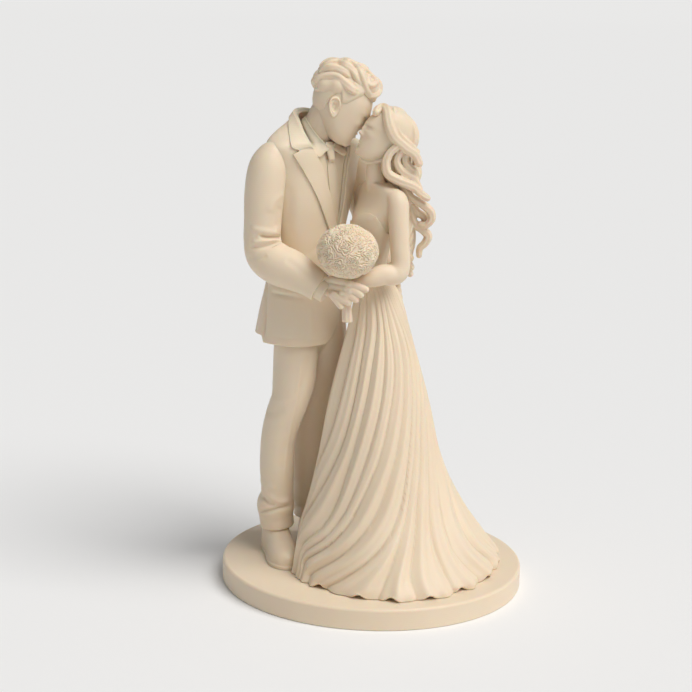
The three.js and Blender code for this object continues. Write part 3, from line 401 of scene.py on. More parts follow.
TIE_FAR = [[600, 9], [740, 14], [780, 12], [808, 3]]
KNOT_NEAR = [[803, -12.5], [810, -14], [834, -18], [842, -16]]
KNOT_FAR = [[803, 1], [810, 2], [834, 5], [842, 4]]
# The chest's middle and the way it faces in degrees
CHEST = [-145, 15, 740, 47]
# The closing line passes the chest's middle at this height and leans by this share of the drop below it
CLOSING = [870, 0.1]
# The rear flap lies between two bearings, in radians, and its hem is a little higher than the front's
VENT = [3.52, 5.9]
FLAP_RISE = 2.1 * MM
# The front stops this far short of the sides, in radians
SIDE_GAP = 0.02
# The groom's neck as the shirt collar sees it: its ends, bearing, radius and how much wider it is at the foot
NECK_TOP = [-120, -4, 892]
NECK_FOOT = [-140, 3, 805]
NECK_BEARING = 48
NECK_RADIUS = 35
NECK_SPREAD = 6


# Geometry helpers
def places(rows):
    """Table places as points in metres."""
    rows = np.asarray(rows, float)
    return rows[..., :3] * THOUSANDTH + np.array([0, 0, BASE_TOP])


def along(table, t):
    """Rows between the rows of a table, on a smooth curve through every column."""
    rows = np.asarray(table, float)
    at = np.clip(t, 0, 1) * (len(rows) - 1)
    i = np.minimum(at.astype(int), len(rows) - 2)
    u = (at - i)[..., None]
    p, q, r, s = (rows[np.clip(i + k, 0, len(rows) - 1)] for k in (-1, 0, 1, 2))
    return q + u / 2 * (r - p + u * (2 * p - 5 * q + 4 * r - s + u * (3 * (q - r) + s - p)))


def evenly(table, count):
    """Rows spread evenly along the curve of a table."""
    return along(table, np.linspace(0, 1, count))


def finely(stroke, times):
    """A stroke with more points, on a smooth curve."""
    return evenly(stroke, times * len(stroke))


def smoothstep(low, high, value):
    t = np.clip((value - low) / (high - low), 0, 1)
    return t * t * (3 - 2 * t)


def facing(degrees):
    """For a body that faces a bearing: the direction from its right to its left, and the one ahead of it."""
    turn = np.radians(degrees)
    across = np.stack([np.cos(turn), np.sin(turn), np.zeros_like(turn)], -1)
    ahead = np.stack([np.sin(turn), -np.cos(turn), np.zeros_like(turn)], -1)
    return across, ahead


def unit(vectors):
    return vectors / np.maximum(np.linalg.norm(vectors, axis=-1, keepdims=True), 1e-12)


def squared(value, power):
    return np.sign(value) * np.abs(value) ** power


def between(at, x, y, period=None):
    """Values between points that come in any order."""
    order = np.argsort(x)
    return np.interp(at, x[order], y[order], period=period)


def smoothed(rows, weights, mode="edge"):
    """Rows of values, each value evened out with its neighbours."""
    reach = len(weights) // 2
    padded = np.pad(rows, ((0, 0), (reach, reach)), mode=mode)
    return np.stack([np.convolve(row, weights / weights.sum(), mode="valid") for row in padded])


def to_pixels(points):
    """Where points land in the picture."""
    rel = points - VIEW_FROM
    depth = -(rel @ BACK)
    across = PICTURE / 2 + FOCAL_PIXELS * (rel @ VIEW_RIGHT) / depth
    down = PICTURE / 2 - FOCAL_PIXELS * (rel @ VIEW_UP) / depth
    return np.stack([across, down], -1)


def new_piece(name, mesh):
    data = bpy.data.meshes.new(name)
    mesh.to_mesh(data)
    mesh.free()
    data.shade_smooth()
    piece = bpy.data.objects.new(name, data)
    bpy.context.scene.collection.objects.link(piece)
    return piece


def sheet(name, across, up, place, closed=True, inside=None):
    """A grid of across by up cells, moved to where place(u, v) puts it. A closed one gets its ends filled."""
    mesh = bmesh.new()
    bmesh.ops.create_grid(mesh, x_segments=across, y_segments=up, size=0.5)
    uv = np.array([vert.co[:2] for vert in mesh.verts]) + 0.5
    for vert, point in zip(mesh.verts, place(uv[:, 0], uv[:, 1])):
        vert.co = point
    mesh.normal_update()
    bmesh.ops.remove_doubles(mesh, verts=mesh.verts, dist=1e-7)
    if closed:
        rim = [edge for edge in mesh.edges if edge.is_boundary]
        bmesh.ops.holes_fill(mesh, edges=rim, sides=0)
        bmesh.ops.recalc_face_normals(mesh, faces=mesh.faces)
    else:
        spots = np.array([face.calc_center_median() for face in mesh.faces])
        ways = np.array([face.normal for face in mesh.faces])
        if (ways * (spots - (spots.mean(0) if inside is None else inside))).sum() < 0:
            bmesh.ops.reverse_faces(mesh, faces=mesh.faces)
    return new_piece(name, mesh)


def read_vectors(items, key):
    values = np.empty(len(items) * 3, np.float32)
    items.foreach_get(key, values)
    return values.reshape(-1, 3).astype(float)


def move_points(piece, points):
    piece.data.vertices.foreach_set("co", points.astype(np.float32).ravel())
    piece.data.update()


def apply_modifier(piece, kind, **settings):
    modifier = piece.modifiers.new(kind.lower(), kind)
    for key, value in settings.items():
        setattr(modifier, key, value)
    bpy.context.view_layer.update()
    seen = piece.evaluated_get(bpy.context.evaluated_depsgraph_get())
    data = bpy.data.meshes.new_from_object(seen)
    piece.modifiers.clear()
    piece.data = data
    data.shade_smooth()


def thicken(piece, wall):
    """Give a sheet a wall that grows inward, and close its rim."""
    apply_modifier(piece, "SOLIDIFY", thickness=wall, offset=-1.0, use_rim=True)


def fuse(name, parts, voxel, soften):
    """Parts grown together into one skin."""
    mesh = bmesh.new()
    for part in parts:
        mesh.from_mesh(part.data)
        bpy.data.objects.remove(part)
    piece = new_piece(name, mesh)
    apply_modifier(piece, "REMESH", mode="VOXEL", voxel_size=voxel)
    apply_modifier(piece, "SMOOTH", factor=0.5, iterations=soften)
    return piece


# Sculpting, with strokes drawn in the picture's pixels
def stroke_distance(pixels, stroke):
    """Each pixel's distance from a stroke, and how far along the stroke it lies, from 0 to 1."""
    line = finely(stroke, 6)
    best = np.full(len(pixels), np.inf)
    share = np.zeros(len(pixels))
    for i, (a, b) in enumerate(zip(line[:-1], line[1:])):
        t = np.clip(((pixels - a) @ (b - a)) / max((b - a) @ (b - a), 1e-9), 0, 1)
        away = np.linalg.norm(pixels - a - t[:, None] * (b - a), axis=1)
        nearer = away < best
        best[nearer] = away[nearer]
        share[nearer] = (i + t[nearer]) / (len(line) - 1)
    return best, share


def carve(piece, strokes):
    """Push strokes in or out: points, half width in pixels, and height, less than zero for a groove."""
    points = read_vectors(piece.data.vertices, "co")
    normals = read_vectors(piece.data.vertex_normals, "vector")
    pixels = to_pixels(points)
    seen = smoothstep(0.0, 0.25, normals @ BACK)
    rise = np.zeros(len(points))
    for stroke, half_width, height in strokes:
        stroke = np.asarray(stroke, float)
        low, high = stroke.min(0) - 3 * half_width, stroke.max(0) + 3 * half_width
        near = np.all((pixels > low) & (pixels < high), axis=1) & (seen > 0)
        away, share = stroke_distance(pixels[near], stroke)
        ends = smoothstep(0, 0.2, share) * smoothstep(0, 0.2, 1 - share)
        rise[near] += height * MM * ends * np.exp(-((away / half_width) ** 2))
    move_points(piece, points + normals * (rise * seen)[:, None])


def view_ray(pixel):
    across = (pixel[0] - PICTURE / 2) / FOCAL_PIXELS
    rise = (PICTURE / 2 - pixel[1]) / FOCAL_PIXELS
    return unit(VIEW_RIGHT * across + VIEW_UP * rise - BACK)


def traced(place, stroke, fine=(500, 200)):
    """Where a stroke of the picture falls on the form place(u, v), on the side that faces the camera."""
    u, v = np.meshgrid(np.linspace(0, 1, fine[0]), np.linspace(0, 1, fine[1]), indexing="ij")
    u, v = u.ravel(), v.ravel()
    points = place(u, v)
    shape = points.reshape(*fine, 3)
    normal = np.cross(np.gradient(shape, axis=0), np.gradient(shape, axis=1)).reshape(-1, 3)
    outward = np.sign(((points - points.mean(0)) * normal).sum())
    seen = ((VIEW_FROM - points) * normal).sum(1) * outward > 0
    pixels, u, v = to_pixels(points[seen]), u[seen], v[seen]
    nearest = [np.argmin(((pixels - spot) ** 2).sum(1)) for spot in np.asarray(stroke, float)]
    return u[nearest], v[nearest]


# Forms
def level_out(angle, reach):
    """Steps out from an upright axis, by bearing and reach."""
    return np.stack([np.cos(angle) * reach, np.sin(angle) * reach, np.zeros(len(angle))], -1)


def ball_way(turn, fall):
    """The way out of a ball, by the turn round it and the fall from its top."""
    return np.stack([np.cos(turn) * np.sin(fall), np.sin(turn) * np.sin(fall), np.cos(fall)], -1)


def trunk_point(table, angle, t, lift=0.0, corners=SQUARENESS):
    """A point on a body of level sections, at an angle round it."""
    row = along(table, t)
    across, ahead = facing(row[:, 6])
    reach = np.where(np.sin(angle) > 0, row[:, 4], row[:, 5]) * THOUSANDTH + lift
    width = row[:, 3] * THOUSANDTH + lift
    side = squared(np.cos(angle), corners) * width
    front = squared(np.sin(angle), corners) * reach
    point = places(row) + across * side[:, None] + ahead * front[:, None]
    if row.shape[1] > 7:
        point[:, 2] -= row[:, 7] * front
    return point


def limb(name, table, around=96, steps=120, side=(1, 0, 0), round_ends=(True, True), relief=None):
    """A tube along a table's curve. Its ends are domed unless cut flat."""
    fine = evenly(table, steps + 1)
    centres = places(fine)
    tangent = unit(np.gradient(centres, axis=0))
    frames = []
    across = np.array(side, float)
    for way in tangent:
        across = unit(across - way * (across @ way))
        frames.append(np.concatenate([across, np.cross(way, across)]))
    frames = np.array(frames)
    half = fine[:, 3:5] * THOUSANDTH
    ends = half.min(1)[[0, -1]] * np.array(round_ends)
    cap = 0.08

    def place(u, v):
        body = np.clip((v - cap) / (1 - 2 * cap), 0, 1)
        i = np.minimum((body * steps).astype(int), steps - 1)
        w = (body * steps - i)[:, None]
        mixed = [row[i] * (1 - w) + row[i + 1] * w for row in (centres, tangent, frames, half)]
        centre, way, axes, wide = mixed
        first, last = np.clip(1 - v / cap, 0, 1), np.clip((v - 1 + cap) / cap, 0, 1)
        dome = (first + last) * math.pi / 2
        scale = np.cos(dome) * (1 - 1e-4)
        scale = np.where((first + last) >= 1, 0, scale)
        shift = np.sin(last * math.pi / 2) * ends[1] - np.sin(first * math.pi / 2) * ends[0]
        angle = u * TURN
        bump = relief(body, angle) if relief else 0
        ring = axes[:, :3] * (np.cos(angle) * (wide[:, 0] + bump) * scale)[:, None]
        ring += axes[:, 3:] * (np.sin(angle) * (wide[:, 1] + bump) * scale)[:, None]
        return centre + ring + way * shift[:, None]

    return sheet(name, around, steps, place)


def trunk(name, table, corners=SQUARENESS):
    return sheet(name, 200, 140, lambda u, v: trunk_point(table, u * TURN, v, corners=corners))


# Base
def make_base():
    fillet, foot = 0.9 * MM, 0.5 * MM
    mesh = bmesh.new()
    corners = [(0, 0)]
    for turn in np.linspace(0, math.pi / 2, 7):
        corners.append((BASE_RADIUS - foot + foot * math.sin(turn), foot - foot * math.cos(turn)))
    for turn in np.linspace(0, math.pi / 2, 9):
        across = BASE_RADIUS - fillet + fillet * math.cos(turn)
        corners.append((across, BASE_TOP - fillet + fillet * math.sin(turn)))
    corners.append((0, BASE_TOP))
    verts = [mesh.verts.new((x, 0, z)) for x, z in corners]
    edges = [mesh.edges.new(pair) for pair in zip(verts[:-1], verts[1:])]
    profile = verts + edges
    bmesh.ops.spin(
        mesh, geom=profile, axis=(0, 0, 1), cent=(0, 0, 0), angle=TURN, steps=256, use_merge=True
    )
    bmesh.ops.remove_doubles(mesh, verts=mesh.verts, dist=1e-7)
    bmesh.ops.recalc_face_normals(mesh, faces=mesh.faces)
    piece = new_piece("base", mesh)
    apply_modifier(piece, "WEIGHTED_NORMAL", keep_sharp=False)
    return piece


# Groom
def chest_side(points):
    """How far points lie to the wearer's left of the closing line, in thousandths."""
    across, _ = facing(np.array([CHEST[3]], float))
    middle = places(CHEST)
    side = ((points - middle) @ across[0]) / THOUSANDTH
    level = (points[:, 2] - BASE_TOP) / THOUSANDTH
    return side - (CLOSING[0] - level) * CLOSING[1]


def front_angles(t, edge):
    """The angle round the jacket at which its front reaches an edge, for each level."""
    angles = np.linspace(SIDE_GAP, math.pi - SIDE_GAP, 400)
    result = np.empty(len(t))
    for i, level in enumerate(t):
        ring = trunk_point(JACKET, angles, np.full(len(angles), level))
        height = (ring[:, 2] - BASE_TOP) / THOUSANDTH
        short = chest_side(ring) - np.interp(height, *zip(*edge))
        result[i] = between(0, short, angles)
    return result


def jacket_relief(t, angle):
    """Soft folds of the cloth all round: pulls at the waist and a fuller skirt."""
    wave = 0.16 * np.sin(3 * angle + 1.2) * smoothstep(0.5, 0.1, t)
    wave += 0.1 * np.sin(5 * angle + 9 * t) * smoothstep(0.0, 0.3, t) * smoothstep(0.8, 0.4, t)
    return wave * MM


def drawn_edge(stroke):
    """A line of the picture as heights and sideways reaches on the chest."""
    front = lambda u, v: trunk_point(JACKET, SIDE_GAP + u * (math.pi - 2 * SIDE_GAP), v)
    points = front(*traced(front, stroke, (400, 500)))
    rows = [[z, s] for z, s in zip((points[:, 2] - BASE_TOP) / THOUSANDTH, chest_side(points))]
    return sorted(rows)


def mirrored(edge, gap=0):
    """An edge on the other side of the closing line."""
    return [[z, max(-s, s + gap)] for z, s in edge]


def on_shoulder(stroke):
    """A line of the picture on the jacket's near side: the angle round it and the level of each point."""
    reach, low = math.pi + 0.8, 0.3
    near = lambda u, v: trunk_point(JACKET, SIDE_GAP + u * reach, low + (1 - low) * v)
    u, v = traced(near, finely(stroke, 5), (500, 500))
    order = np.argsort(u)
    return SIDE_GAP + u[order] * reach, low + (1 - low) * v[order]


def both_sides(angle, line):
    """The level of a line of the near side at an angle of either side."""
    return np.interp(1.5 * math.pi - np.abs(angle - 1.5 * math.pi), *line)


def make_jacket(roll):
    levels = np.linspace(0, 1, 241)
    near, far = front_angles(levels, near_edge), front_angles(levels, far_edge)
    sharp, broad = 0.08, 0.3

    def place(u, v):
        start, end = np.interp(v, levels, near), np.interp(v, levels, far)
        angle = start + u**1.3 * (end + TURN - start)
        level = v * (1 - (1 - both_sides(angle, roll)) * smoothstep(0.8, 1.0, v))
        point = trunk_point(JACKET, angle, level, jacket_relief(v, angle))
        flap = smoothstep(VENT[0], VENT[0] + sharp, angle)
        flap = flap * smoothstep(VENT[1] + broad, VENT[1] - broad, angle)
        point[:, 2] += flap * smoothstep(0.2, 0.0, v) * FLAP_RISE
        return point

    piece = sheet("jacket", across=270, up=178, place=place, closed=False)
    carve(piece, JACKET_FOLDS)
    thicken(piece, CLOTH_WALL)
    return piece


def on_chest(side, level, lift):
    """A point of the jacket's front, by its side of the closing line and its height, lifted off the cloth."""
    angles = np.linspace(SIDE_GAP, math.pi - SIDE_GAP, 160)
    steps = np.linspace(0.2, 1, 260)
    angle, height = np.empty((len(steps), len(side))), np.empty((len(steps), len(side)))
    for i, t in enumerate(steps):
        ring = trunk_point(JACKET, angles, np.full(len(angles), t))
        angle[i] = between(side, chest_side(ring), angles)
        height[i] = (np.interp(angle[i], angles, ring[:, 2]) - BASE_TOP) / THOUSANDTH
    above = np.clip((height < level).sum(0), 1, len(steps) - 1)
    item = np.arange(len(side))
    low, high = height[above - 1, item], height[above, item]
    share = np.clip((level - low) / np.maximum(high - low, 1e-9), 0, 1)
    t = steps[above - 1] + share * (steps[above] - steps[above - 1])
    turned = angle[above - 1, item] * (1 - share) + angle[above, item] * share
    return trunk_point(JACKET, turned, t, lift)


def plate(name, inner, outer, low, high, lift, thickness, across=60, up=200, crown=None):
    """A plate on the chest between two edges that change with height."""

    def place(u, v):
        level = np.round(low + v * (high - low), 4)
        start, end = np.interp(level, *zip(*inner)), np.interp(level, *zip(*outer))
        raised = np.full(len(u), lift) + (crown(u, v) if crown else 0)
        return on_chest(start + u * (end - start), level, raised)

    piece = sheet(name, across, up, place, closed=False, inside=places(CHEST))
    thicken(piece, thickness)
    return piece


def make_lapels():
    outer = drawn_edge(LAPEL_LINE)
    low, high = 650, 853
    near = plate("near_lapel", near_edge, outer, low, high, LAPEL_RISE, LAPEL_WALL, across=70, up=260)
    far = plate("far_lapel", far_edge, mirrored(outer), low, high, LAPEL_RISE, LAPEL_WALL)
    return [near, far]


def make_shirt():
    low, high = 625, 828
    return plate("shirt_front", SHIRT_EDGE, mirrored(SHIRT_EDGE), low, high, -SHIRT_STEP, SHIRT_WALL, up=120)


def make_tie():
    """The blade, a little rounded over, and the knot, which swells between its ends."""
    low, high, lift, thick = 615, 808, -0.65 * MM, 0.7 * MM
    rounded = lambda u, v: 0.3 * MM * np.sin(u * math.pi)
    blade = plate("tie_blade", TIE_NEAR, TIE_FAR, low, high, lift, thick, across=30, up=120, crown=rounded)
    low, high, lift, thick = 803, 842, -0.1 * MM, 1.3 * MM
    ends = lambda v: smoothstep(0, 0.2, v) * smoothstep(1, 0.85, v)
    swell = lambda u, v: 0.9 * MM * np.sin(u * math.pi) ** 0.5 * ends(v)
    knot = plate("tie_knot", KNOT_NEAR, KNOT_FAR, low, high, lift, thick, up=40, crown=swell)
    return [blade, knot]


def neck_cone(u, v):
    """Round the groom's neck from the nape, past its near side, and down it to lie on the chest."""
    turn = u * TURN
    across, ahead = facing(np.array([float(NECK_BEARING)]))
    top, foot = places(NECK_TOP), places(NECK_FOOT)
    centre = top + v[:, None] * (foot - top)
    way = -ahead * np.cos(turn)[:, None] - across * np.sin(turn)[:, None]
    level = (centre[:, 2] - BASE_TOP) / THOUSANDTH
    table = np.asarray(JACKET, float)
    middle_x, middle_y, wide, reach = (np.interp(level, table[:, 2], table[:, i]) for i in (0, 1, 3, 4))
    bend = math.radians(3)
    power = 2 / SQUARENESS
    upright, lying = 842, 815
    side, front = np.abs(np.sin(turn + bend)), np.abs(np.cos(turn + bend))
    chest = ((side / wide) ** power + (front / reach) ** power) ** (-1 / power)
    off_x, off_y = middle_x - centre[:, 0] / THOUSANDTH, middle_y - centre[:, 1] / THOUSANDTH
    offset = way[:, 0] * off_x + way[:, 1] * off_y
    radius = NECK_RADIUS + NECK_SPREAD * v
    radius = radius + np.maximum(chest + offset - 1 - radius, 0) * smoothstep(upright, lying, level)
    return centre + way * (radius * THOUSANDTH)[:, None]


def make_collar():
    """The shirt collar: a leaf round the neck that folds over to two points, with its edges as drawn."""
    edges = []
    for stroke in (SHIRT_COLLAR_TOP, SHIRT_COLLAR_LOW):
        u, v = traced(neck_cone, evenly(stroke, 30))
        order = np.argsort(u)
        edges.append((u[order], v[order]))

    def place(u, v):
        near = 0.5 - np.abs(u - 0.5)
        top, low = (np.interp(near, *edge) for edge in edges)
        low = np.maximum(low, top + 0.05)
        down = top + np.clip(v * 1.25 - 0.25, 0, 1) * (low - top)
        point = neck_cone(u, down)
        inward = np.clip(1 - v * 4, 0, 1)
        lifted = 0.65 * smoothstep(0.3, 0.8, v)
        middle = neck_cone(u + 0.5, down)
        point += unit(middle - point) * ((0.9 * inward - lifted) * MM)[:, None]
        point[:, 2] -= inward**2 * 1.2 * MM
        return point

    piece = sheet("shirt_collar", 300, 50, place, closed=False, inside=places([-130, -1, 850]))
    thicken(piece, 0.5 * MM)
    return piece


def make_jacket_collar(roll):
    """The jacket's collar, as drawn in front: it lies on the shoulders, stands at the neck and turns in."""
    angles, levels = on_shoulder(COLLAR_LINE)
    outer = np.append(angles, angles[-1] + 0.4), np.append(levels, min(levels[-1] + 0.035, 0.975))
    seam = on_shoulder(COLLAR_SEAM)[0]
    profile = [[0.0, 0.75], [0.3, 0.85], [0.65, 0.95], [0.92, 1.0], [1.0, 0.7], [1.0, 0.2], [0.9, -0.3]]

    def place(u, v):
        row = along(profile, v)
        start = seam[-1] + (seam[0] - seam[-1]) * np.clip(row[:, 0], 0, 1)
        angle = start + u * (3 * math.pi - 2 * start)
        low, high = both_sides(angle, outer), both_sides(angle, roll)
        return trunk_point(JACKET, angle, low + (high - low) * row[:, 0], row[:, 1] * MM)

    piece = sheet("jacket_collar", 300, 44, place, closed=False, inside=places([-135, 2, 850]))
    thicken(piece, 0.6 * MM)
    return piece


def make_trousers():
    side = facing(np.array([20.0]))[0][0]
    parts = [
        trunk("seat", SEAT),
        limb("near_leg", RIGHT_LEG, around=120, steps=220, side=side, round_ends=(True, False)),
        limb("far_leg", LEFT_LEG, around=120, steps=220, side=side, round_ends=(True, False)),
    ]
    piece = fuse("trousers", parts, 0.4 * MM, 2)
    carve(piece, TROUSER_FOLDS)
    return piece


# A shoe's sections: the share of its length, and its width and height there as shares
SHOE = [
    [0.0, 0.24, 0.35],
    [0.05, 0.36, 0.7],
    [0.2, 0.4, 0.95],
    [0.36, 0.4, 0.93],
    [0.5, 0.43, 0.72],
    [0.64, 0.48, 0.56],
    [0.8, 0.49, 0.47],
    [0.92, 0.38, 0.4],
    [0.985, 0.2, 0.28],
    [1.0, 0.05, 0.2],
]


def make_shoe(name, heel, toe):
    length, width, height, sole, edge = 27 * MM, 10.6 * MM, 11.4 * MM, 1.2 * MM, 0.45 * MM
    start = places([*heel, 0])
    way = unit(places([*toe, 0]) - start)
    over = np.cross([0, 0, 1], way)

    def upper(u, v):
        row = along(SHOE, v)
        angle = u * TURN
        lift = np.maximum(np.sin(angle), 0) ** 0.9 * row[:, 2] * height
        side = squared(np.cos(angle), 0.75) * row[:, 1] * width
        point = start + way * (row[:, 0] * length)[:, None] + over * side[:, None]
        point[:, 2] = BASE_TOP + sole * 0.8 + lift
        return point

    def welt(u, v):
        angle = u * TURN
        row = along(SHOE, (1 - np.cos(angle)) / 2)
        side = squared(np.sin(angle), 0.35) * (row[:, 1] * width + edge)
        reach = row[:, 0] * length + (row[:, 0] * 2 - 1) * edge
        rim = 1 - 0.15 * MM * (np.abs(v - 0.5) > 0.45) / width
        point = start + way * reach[:, None] + over * (side * rim)[:, None]
        point[:, 2] = BASE_TOP - SUNK + v * sole
        return point

    return fuse(name, [sheet("upper", 96, 120, upper), sheet("welt", 160, 4, welt)], 0.24 * MM, 1)


def make_sleeve(name, table):
    return limb(name, table, around=180, steps=260, round_ends=(True, False))


def make_right_sleeve():
    piece = make_sleeve("right_sleeve", RIGHT_SLEEVE)
    carve(piece, SLEEVE_FOLDS)
    return piece


def make_left_hand():
    parts = [limb("finger", table, around=32, steps=48) for table in GROOM_LEFT_HAND]
    return fuse("left_hand", parts, 0.22 * MM, 3)


def make_right_hand():
    """The hand round the stems, drawn in the picture."""
    parts = []
    for front, back, half, stroke in HAND_STROKES:
        fine = finely(stroke, 4)
        rows = to_rows(at_depth(fine, np.linspace(front, back, len(fine))), half, 0.78)
        parts.append(limb("finger", rows, around=36, steps=60))
    return fuse("right_hand", parts, 0.18 * MM, 3)


# Heads
# A skull row, in shares of the head's height: level, middle, reach ahead and behind, reach to each side
SKULL = [
    [0.5, -0.03, 0.0, 0.0],
    [0.475, -0.03, 0.17, 0.145],
    [0.42, -0.03, 0.28, 0.235],
    [0.32, -0.035, 0.375, 0.3],
    [0.2, -0.035, 0.43, 0.335],
    [0.08, -0.03, 0.44, 0.34],
    [-0.05, -0.02, 0.415, 0.325],
    [-0.15, 0.0, 0.375, 0.305],
    [-0.25, 0.035, 0.32, 0.28],
    [-0.35, 0.09, 0.25, 0.245],
    [-0.43, 0.135, 0.185, 0.195],
    [-0.48, 0.165, 0.13, 0.13],
    [-0.5, 0.185, 0.0, 0.0],
]
# A plain face, as swellings: bearing in degrees, level, half width in degrees, half height and rise
MIDDLE_OF_FACE = [
    [0, 0.085, 34, 0.035, 0.012],
    [0, -0.03, 5.5, 0.07, 0.035],
    [0, -0.12, 6.5, 0.035, 0.07],
    [0, -0.245, 9, 0.014, 0.026],
    [0, -0.268, 9, 0.006, -0.014],
    [0, -0.295, 8, 0.016, 0.026],
    [0, -0.345, 12, 0.018, -0.012],
    [0, -0.43, 18, 0.045, 0.022],
]
SIDE_OF_FACE = [
    [8, -0.14, 4.0, 0.02, 0.022],
    [22, 0.01, 11, 0.04, -0.035],
    [22, 0.003, 7, 0.018, 0.022],
    [22, 0.055, 10, 0.012, 0.01],
    [40, -0.1, 14, 0.06, 0.014],
]
FACE = MIDDLE_OF_FACE + [[side * row[0], *row[1:]] for row in SIDE_OF_FACE for side in (1, -1)]


def head_axes(head):
    bearing, nod = math.radians(head[4]), math.radians(head[5])
    return np.array(Matrix.Rotation(bearing, 3, "Z") @ Matrix.Rotation(nod, 3, "Y"))


def head_point(head, points):
    """From head shares (ahead, left, up) to a place."""
    return places(head) + (points * head[3] * THOUSANDTH) @ head_axes(head).T


def skull_points(angle, level_t, swell=0.0, face=FACE):
    row = along(SKULL, level_t)
    degrees = np.degrees(np.arctan2(np.sin(angle), np.cos(angle)))
    rise = np.zeros(len(angle))
    for at, level, wide, tall, out in face:
        rise += out * np.exp(-(((degrees - at) / wide) ** 2) - ((row[:, 0] - level) / tall) ** 2)
    rise *= smoothstep(0.0, 0.08, row[:, 2])
    grown = np.minimum(swell, row[:, 2] * 3)
    ahead = np.cos(angle) * (row[:, 2] + rise + grown) + row[:, 1]
    return np.stack([ahead, np.sin(angle) * (row[:, 3] + rise + grown), row[:, 0]], -1)


def make_skull(head):
    def place(u, v):
        turn = u * TURN - math.pi
        return head_point(head, skull_points(turn - np.sin(turn) * 0.3, v))

    return sheet("face", 256, 220, place)


def make_ear(head, side):
    """An ear: an egg-shaped leaf with a raised rim and a hollow."""
    tilt = math.radians(22)

    def place(u, v):
        angle, radius = u * TURN, v
        up = np.sin(angle) * radius * 0.16
        back = np.cos(angle) * radius * 0.088 * (1 + 0.3 * np.sin(angle))
        rim = 0.035 * np.exp(-(((radius - 0.84) / 0.12) ** 2))
        rim = rim * smoothstep(-1.0, -0.3, np.sin(angle) + 0.4 * np.cos(angle))
        fold = 0.02 * np.exp(-(((radius - 0.5) / 0.1) ** 2)) * smoothstep(-0.2, 0.5, np.cos(angle))
        hollow = -0.035 * np.exp(-(((radius - 0.2) / 0.22) ** 2))
        out = 0.045 + rim + fold + hollow - 0.1 * smoothstep(0.93, 1.0, radius) + 0.3 * back
        ahead = -0.14 - back * math.cos(tilt) - up * math.sin(tilt)
        rise = -0.02 + up * math.cos(tilt) - back * math.sin(tilt)
        return head_point(head, np.stack([ahead, side * (0.315 + out), rise], -1))

    return sheet("ear", 72, 30, place)


def make_groom_head():
    ears = [make_ear(GROOM_HEAD, side) for side in (1, -1)]
    return fuse("grooms_head", [make_skull(GROOM_HEAD), limb("neck", GROOM_NECK), *ears], 0.2 * MM, 1)


def make_bride_head():
    return fuse("brides_head", [make_skull(BRIDE_HEAD)], 0.18 * MM, 1)


# Hair
# Hairlines from the forehead round to the nape: bearing in degrees and level as a share of the head
GROOM_HAIRLINE = [
    [0, 0.37],
    [35, 0.34],
    [55, 0.27],
    [66, 0.2],
    [76, 0.12],
    [86, 0.03],
    [94, 0.0],
    [99, 0.06],
    [104, 0.13],
    [112, 0.1],
    [120, -0.05],
    [128, -0.19],
    [150, -0.24],
    [180, -0.25],
]
BRIDE_HAIRLINE = [
    [0, 0.42],
    [30, 0.42],
    [48, 0.28],
    [65, 0.14],
    [80, 0.03],
    [95, -0.04],
    [110, -0.12],
    [125, -0.32],
    [140, -0.5],
    [180, -0.6],
]
# Waves of the groom's hair, drawn in the picture: half a wave's thickness in millimetres and its line
WAVES = [
    [1.45, [(317, 79), (323, 76), (331, 75), (338, 77), (344, 82), (350, 88), (356, 92), (360, 93.5)]],
    [1.2, [(320, 78), (315.5, 80), (314.5, 85), (316, 90)]],
    [1.3, [(321, 71), (325, 67.5), (331, 66.5), (337, 68), (343, 71), (348, 74), (351, 78)]],
    [1.35, [(322, 67), (328, 62.5), (336, 61.5), (344, 64), (350, 68), (355, 73), (357.5, 79), (361, 84)]],
    [1.35, [(347, 62), (355, 64.5), (360, 70), (362.5, 77), (365, 84), (367, 90), (370, 95)]],
    [1.2, [(338, 60), (346, 60), (355, 61.5), (363, 66), (369, 71.5)]],
    [1.3, [(366, 69), (374, 74), (379.5, 81), (380.5, 88), (377, 94), (371, 96), (366, 92)]],
    [1.0, [(369, 75), (367.5, 81), (370, 85), (375, 84.5), (377, 80.5), (373, 77)]],
    [1.1, [(350, 79), (355, 84), (359, 88), (362, 92)]],
]


def lock(name, table, around, steps, strands, twist, depth):
    """A lock of hair: a tapering tube with the grooves of its strands."""

    def relief(body, angle):
        ridge = np.abs(np.sin(angle * strands / 2 + twist * body)) ** 0.7
        return -depth * (1 - ridge) * np.max(np.asarray(table)[:, 3]) * THOUSANDTH

    return limb(name, table, around, steps, relief=relief)


# Locks of her hair, drawn in the picture: depths along it, half thickness in millimetres, and its line
BRIDE_STRANDS = [
    [(-48, -60, -60, -56), 1.3, [(394, 110), (396, 122), (398, 132), (404, 140), (411, 146), (417, 152)]],
    [(-66, -68, -66, -60), 1.55, [(398, 146), (390, 153), (386, 163), (388, 173.5), (398, 180),
     (407, 184), (415, 188), (421, 194), (427, 198)]],
    [(-60, -62, -54, -50), 1.3, [(402, 150), (397, 160), (400, 169), (406, 174), (413, 178), (418, 186),
     (421, 193)]],
    [(-56, -52, -44), 1.35, [(408, 150), (405, 160), (410, 168), (416, 173), (416, 181)]],
    [(-44, -40, -34), 1.3, [(413, 147), (416, 157), (417, 166), (418, 175), (414, 185)]],
    [(-52, -46, -40), 1.4, [(402, 186), (410, 196), (418, 202), (426, 207), (431, 213), (431, 220),
     (426, 225), (421, 224)]],
    [(-36, -34, -26), 1.3, [(408, 192), (412, 204), (417, 212), (424, 217), (424, 225)]],
    [(-36, -32, -26), 1.4, [(411, 204), (412, 216), (416, 225), (423, 230), (428, 236), (425, 243),
     (420, 248), (419, 255)]],
    [(-22, -16, -10), 1.25, [(410, 206), (411, 222), (412, 234), (412, 243), (411, 251)]],
]
